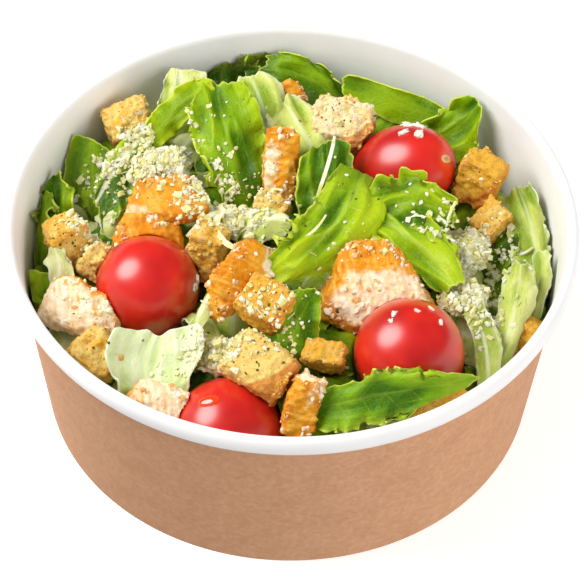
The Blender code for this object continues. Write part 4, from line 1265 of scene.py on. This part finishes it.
def scatter_recipe(name, shape):
    """Grains on points: each turned, tilted, sized and dented by a seeded draw."""
    inputs = dict.fromkeys(GRAIN_INPUTS, "Float")
    inputs.update({"Seed": "Int", "Material": "Material"})
    recipe = Recipe(name, inputs)
    seed = recipe.given("Seed")
    drawn = {"data_type": "FLOAT_VECTOR"}
    up = recipe.add("GeometryNodeInputNamedAttribute", drawn, {"Name": "up"})
    aligned = recipe.add("FunctionNodeAlignRotationToVector", {"axis": "Z"}, {"Vector": up})
    sockets = {0: (-0.45, -0.45, 0.0), 1: (0.45, 0.45, 6.28), 8: seed}
    tilt = recipe.add("FunctionNodeRandomValue", drawn, sockets)
    by = recipe.add("FunctionNodeEulerToRotation", None, {0: tilt})
    turned_by = recipe.add("FunctionNodeRotateRotation", {"rotation_space": "LOCAL"}, {0: aligned, 1: by})
    sockets = {2: 0.0, 3: 1.0, 8: seed + 1.0}
    chance = recipe.add("FunctionNodeRandomValue", {"data_type": "FLOAT"}, sockets, 1)
    small = recipe.given("Small")
    size = small + (recipe.given("Large") - small) * chance ** 2.5
    sockets = {0: (0.8, 0.6, 0.45), 1: (1.4, 1.1, 1.0), 8: seed + 2.0}
    squash = recipe.add("FunctionNodeRandomValue", drawn, sockets)
    scale = recipe.add("ShaderNodeVectorMath", {"operation": "SCALE"}, {0: squash, "Scale": size})
    sockets = {"Points": recipe.given("Geometry"), "Instance": shape(recipe)}
    sockets.update({"Rotation": turned_by, "Scale": scale})
    placed = recipe.add("GeometryNodeInstanceOnPoints", None, sockets)
    real = recipe.add("GeometryNodeRealizeInstances", None, {0: placed})
    dents = recipe.add("ShaderNodeTexNoise", None, {"Scale": 700.0, "Detail": 1.0}, "Color")
    sockets = {0: dents, 1: (0.5, 0.5, 0.5)}
    centred = recipe.add("ShaderNodeVectorMath", {"operation": "SUBTRACT"}, sockets)
    sockets = {0: centred, "Scale": recipe.given("Dent")}
    offset = recipe.add("ShaderNodeVectorMath", {"operation": "SCALE"}, sockets)
    moved = recipe.add("GeometryNodeSetPosition", None, {"Geometry": real, "Offset": offset})
    sockets = {0: moved, "Material": recipe.given("Material")}
    recipe.join(recipe.add("GeometryNodeSetMaterial", None, sockets), recipe.end.inputs[0])
    return recipe


def shred_shape(recipe):
    """A short bent strip with four sides."""
    half = recipe.given("Length") * 0.5
    corners = ({0: half * -1.0}, {1: half * 0.3, 2: half * 0.5}, {0: half})
    start, high, end = (recipe.add("ShaderNodeCombineXYZ", None, corner) for corner in corners)
    sockets = {"Resolution": 4, "Start": start, "Middle": high, "End": end}
    path = recipe.add("GeometryNodeCurveQuadraticBezier", None, sockets)
    sockets = {"Resolution": 4, "Radius": recipe.given("Thickness") * 0.5}
    outline = recipe.add("GeometryNodeCurvePrimitiveCircle", None, sockets)
    sockets = {"Curve": path, "Profile Curve": outline, "Fill Caps": True}
    return recipe.add("GeometryNodeCurveToMesh", None, sockets)


def crumb_shape(recipe):
    """A lump with twenty faces."""
    sockets = {"Radius": recipe.given("Thickness"), "Subdivisions": 1}
    return recipe.add("GeometryNodeMeshIcoSphere", None, sockets)


def lump_shape(recipe):
    """A block with forty-eight triangles, as a grater breaks them off."""
    side = recipe.given("Thickness") * 1.5
    size = recipe.add("ShaderNodeCombineXYZ", None, {0: side, 1: side, 2: side})
    sockets = {"Size": size, "Vertices X": 3, "Vertices Y": 3, "Vertices Z": 3}
    return recipe.add("GeometryNodeMeshCube", None, sockets)


def lay_grains(name, recipe, spots, grain, material, slot, *nodes):
    settle(recipe.make(name, spots, grain, material), slot, *nodes)


paste = cheese_paste("cheese_paste", CHEESE_IVORY, CHEESE_SHADE)
beds = make_beds(paste)
settle(beds, "grated_cheese", "lettuce_heap")
ground = landing([core, beds, *leaves, *tomatoes, *chicken, *croutons])
bed_tree = landing([beds])
draw = random.Random(31)
spots = ([], [], [])
for middle, reach, *counts in CHEESE_FALLS:
    for group, count in zip(spots, counts):
        group += fall(ground, draw, middle, reach, count, 0.3)
for middle, size in CHEESE_DRIFTS:
    share = size[0] * size[1] / (CHEESE_DRIFTS[0][1][0] * CHEESE_DRIFTS[0][1][1])
    reach = (size[0] * 0.65, size[1] * 0.65)
    for group, count in zip(spots, DRIFT_LAYER):
        group += fall(bed_tree, draw, middle[:2], reach, round(count * share), 1.2)
crumb_recipe = scatter_recipe("crumbs", crumb_shape)
shred_recipe = scatter_recipe("shreds", shred_shape)
lump_recipe = scatter_recipe("lumps", lump_shape)
for name, recipe, group, grain in (("cheese_lumps", lump_recipe, spots[0], LUMP),
                                   ("cheese_crumbs", crumb_recipe, spots[1], CRUMB),
                                   ("cheese_shreds", shred_recipe, spots[2], SHRED)):
    lay_grains(name, recipe, group, grain, paste, "grated_cheese", "lettuce_heap")


# Strips of cheese. A few long ones that a coarse grater cut, each lying bent over what is
# under it; start, middle, end and width.
STRIP_DEPTH = 0.55
STRIP_STEPS = 24
CHEESE_STRIPS = (
    ((11, 31, 59.5), (9.5, 20, 61), (6, 9.5, 56), 1.05),
    ((-17.5, 8.5, 55), (-19.5, 1.5, 54), (-14.5, -7.5, 57), 1.9),
    ((2, -6, 58.5), (6, -3.5, 60), (9, 2, 60), 0.7),
    ((-27, -1, 54), (-22, 5, 55), (-18, 8, 54), 1.2),
)


def strip(start, middle, end, width):
    """A bent bar of four sides, thinner towards its ends."""
    share = np.linspace(0, 1, STRIP_STEPS + 1)[:, None]
    path = bowed(*(np.array(p, float) for p in (start, middle, end)), share)
    ahead = unit(np.gradient(path, axis=0))
    taper = 0.5 * width * (1 - 0.35 * abs(2 * share - 1) ** 2)
    across = unit(np.cross(ahead, TOWARDS_VIEWER)) * taper
    across = across * (1 + 0.2 * field(path, 1.6))[:, None]
    depth = 0.5 * STRIP_DEPTH * unit(np.cross(across, ahead))
    corners = (-across - depth, across - depth, across + depth, depth - across)
    points = np.stack([path + corner for corner in corners], 1).reshape(-1, 3)
    faces = []
    for first in range(0, 4 * STRIP_STEPS, 4):
        for side in range(4):
            here, after = first + side, first + (side + 1) % 4
            faces.append((here, after, after + 4, here + 4))
    last = 4 * STRIP_STEPS
    return points, [*faces, (0, 1, 2, 3), (last + 3, last + 2, last + 1, last)]


def make_strips(material):
    obj = make_piece("cheese_strips", *joined(strip(*row) for row in CHEESE_STRIPS), material)
    obj.data.set_sharp_from_angle(angle=SHARP_FOLD)
    return obj


settle(make_strips(paste), "grated_cheese", "lettuce_heap")


# Bits of meat and bread. Torn fibres and crumbs that broke off the pieces, and cling in
# clumps along the edges that they came from.
MEAT_BIT_SHARE = 0.22
BREAD_BIT_SHARE = 0.26
CLUMP_SIZE = 5.0
CLUMP_BASE = 0.12
EDGE_BASE = 0.12
LOWEST_FACING = -0.3


def strewn(pieces, draw, count):
    """Spots in clumps along the edges of pieces, with the way out there."""
    spots = []
    for obj in pieces:
        mesh = obj.data
        edge = mesh.attributes["edge"].data
        sides = [face for face in mesh.polygons if face.normal.z > LOWEST_FACING]
        weights = []
        for face in sides:
            clump = max(0.0, CLUMP_BASE + noise.noise(face.center / (CLUMP_SIZE * MM)))
            weights.append(face.area * clump * (EDGE_BASE + min(1.0, edge[face.vertices[0]].value) ** 4))
        total = sum(face.area for face in sides)
        for face in draw.choices(sides, weights, k=round(count * total / MM ** 2)):
            spots.append((face.center.copy(), face.normal.copy()))
    return spots


def speckled(name, specular, roughness, size, low, high, share, first, second):
    """A dry finish in two colours, for bits too small to show more."""
    finish = Finish(name, {"Specular IOR Level": specular, "Roughness": roughness})
    return finish.made(finish.layered(first, (finish.grain(size), low, high, share, second)))


meat_nodes = ["chicken_%d" % number for number in range(1, len(CHICKEN) + 1)]
bread_nodes = ["crouton_%02d" % number for number in range(1, len(CROUTONS) + 1)]
torn_meat = speckled("torn_meat", 0.4, 0.5, 2.5, 0.42, 0.58, 0.8, MEAT_LIGHT, MEAT_ORANGE)
bread_dust = speckled("bread_dust", 0.3, 0.7, 1.8, 0.40, 0.60, 1.0, BREAD_CRUMB, BREAD_GOLD)
meat_spots = strewn(chicken, draw, MEAT_BIT_SHARE)
lay_grains("meat_bits", crumb_recipe, meat_spots, MEAT_BIT, torn_meat, "seared_chicken", *meat_nodes)
bread_spots = strewn(croutons, draw, BREAD_BIT_SHARE)
lay_grains("bread_bits", crumb_recipe, bread_spots, BREAD_BIT, bread_dust, "toasted_bread", *bread_nodes)


# Flakes on the tomatoes. Thin chips of the same cheese that stuck to the wet skin, most of
# them on top; they are larger on the tomato at the back.
FLAKE_SIZE = (2.2, 1.5, 0.9)
FLAKE_SHARES = (1.0, 1.35, 0.65, 1.0)
FLAKE_LIFT = 0.1
FLAKE_CORNERS = 0.6
FLAKE_ROUGH = 0.8


def flake(spot, lie, half):
    """A chip lying on a spot, with its corners and its dents."""
    def place(point):
        bent = Vector([math.copysign(abs(c) ** FLAKE_CORNERS, c) for c in point])
        rough = 1 + FLAKE_ROUGH * noise.noise(point * 1.7 + spot)
        return spot + lie @ Vector([bent[i] * half[i] * rough for i in range(3)])

    return ball(3, 1.0, place)


def make_flakes(material):
    draw = random.Random(5)
    parts = []
    for (middle, half_length, half_width, axis, flakes), share in zip(TOMATOES, FLAKE_SHARES):
        turn = Vector(axis).to_track_quat("Z", "Y")
        for direction in flakes:
            towards = Vector(direction).normalized()
            own = turn.inverted() @ towards
            scale = math.hypot(own.x / half_width, own.y / half_width, own.z / half_length)
            half = [share * size * draw.uniform(0.35, 0.6) for size in FLAKE_SIZE]
            spot = Vector(middle) + towards * (1 / scale + FLAKE_LIFT)
            parts.append(flake(spot, towards.to_track_quat("Z", "Y"), half))
    return make_piece("cheese_flakes", *joined(parts), material)


chips = cheese_paste("cheese_chips", CHEESE_CREAM, CHEESE_IVORY)
settle(make_flakes(chips), "grated_cheese", "tomato_1", "tomato_2", "tomato_3")


# Herbs. Dried green and brown flecks from the croutons' seasoning, fallen on the cheese,
# the bread and, here and there, the leaves.
HERB = (0.0, 0.36, 0.7, 0.5, 1.5, 13)
HERB_GREEN = (0.075, 0.11, 0.012)
HERB_BROWN = (0.16, 0.09, 0.02)

# Where herbs fell: middle, reach in X and Y, and how many
HERB_FALLS = (
    ((-35, 26), (15, 12), 45),
    ((-58, 3), (7, 8), 30),
    ((-6, -35), (12, 14), 70),
    ((46, -4), (12, 12), 45),
    ((13, 43), (8, 7), 30),
    ((-49, -30), (10, 8), 30),
    ((0, 0), (60, 56), 130),
)


herb_spots = []
for middle, reach, count in HERB_FALLS:
    herb_spots += fall(ground, draw, middle, reach, count)
dried_herb = speckled("dried_herb", 0.3, 0.75, 1.5, 0.40, 0.60, 1.0, HERB_GREEN, HERB_BROWN)
lay_grains("herb_flecks", crumb_recipe, herb_spots, HERB, dried_herb, "romaine", "lettuce_heap")


# Room. A plain white table, a large soft light from the back left as on the tomatoes in
# the photo, a softer one from the front right, and a camera that looks down by 48 degrees.
FLOOR_REACH = 3.0
TABLE_GLOW = 0.42
TABLE_WHITES = ((0.93, 0.93, 0.93), (0.95, 0.95, 0.95))
CAMERA_ELEVATION = 48.0
CAMERA_ROLL = 1.19
CAMERA_DISTANCE = 0.889
CAMERA_AIM = (0.00064, 0.0, 0.03213)
FOCAL_PIXELS = 3352.0
FRAME_PIXELS = 584
SENSOR_WIDTH = 36.0

# Lights: place, size, power, colour, and whether glossy skins mirror it
LIGHTS = {
    "window": ((-0.60, 0.08, 0.72), 0.72, 9.8, (1.0, 0.99, 0.97), True),
    "front": ((0.93, -0.66, 0.45), 0.90, 8.4, (1.0, 0.98, 0.97), False),
}
LIGHT_AIM = (0.0, 0.0, 0.04)
WORLD_STRENGTH = 0.51


def make_floor():
    constants = {"Roughness": 0.9, "Specular IOR Level": 0.1}
    constants.update({"Emission Color": (1.0, 1.0, 1.0), "Emission Strength": TABLE_GLOW})
    finish = Finish("white_table", constants)
    material = finish.made(finish.blend(finish.grain(60.0), *TABLE_WHITES))
    mesh = bpy.data.meshes.new("table")
    corners = [(-1, -1), (1, -1), (1, 1), (-1, 1)]
    mesh.from_pydata([(x * FLOOR_REACH, y * FLOOR_REACH, 0.0) for x, y in corners], [], [(0, 1, 2, 3)])
    mesh.materials.append(material)
    floor = add_object("table", mesh)
    floor.visible_diffuse = False


def make_lights():
    for name, (place, size, power, colour, mirrored) in LIGHTS.items():
        light = bpy.data.lights.new(name, "AREA")
        light.shape = "DISK"
        light.size = size
        light.energy = power
        light.color = colour
        obj = add_object(name, light)
        obj.location = place
        obj.visible_glossy = mirrored
        obj.rotation_euler = (Vector(LIGHT_AIM) - Vector(place)).to_track_quat("-Z", "Y").to_euler()
    world = bpy.data.worlds.new("room")
    world.use_nodes = True
    background = world.node_tree.nodes["Background"]
    background.inputs["Color"].default_value = (1.0, 1.0, 1.0, 1.0)
    background.inputs["Strength"].default_value = WORLD_STRENGTH
    world.cycles_visibility.glossy = False
    bpy.context.scene.world = world


def make_camera():
    elevation, roll = math.radians(CAMERA_ELEVATION), math.radians(CAMERA_ROLL)
    back = Vector((0, -math.cos(elevation), math.sin(elevation)))
    level = Vector((1, 0, 0))
    rise = Vector((0, math.sin(elevation), math.cos(elevation)))
    right = math.cos(roll) * level + math.sin(roll) * rise
    up = math.cos(roll) * rise - math.sin(roll) * level
    camera = bpy.data.cameras.new("camera")
    camera.sensor_width = SENSOR_WIDTH
    camera.lens = FOCAL_PIXELS / FRAME_PIXELS * SENSOR_WIDTH
    camera.clip_start = 0.01
    obj = add_object("camera", camera)
    place = Vector(CAMERA_AIM) + back * CAMERA_DISTANCE
    obj.matrix_world = Matrix.Translation(place) @ Matrix((right, up, back)).transposed().to_4x4()
    bpy.context.scene.camera = obj


make_floor()
make_lights()
make_camera()
bpy.context.scene.view_settings.view_transform = "Standard"
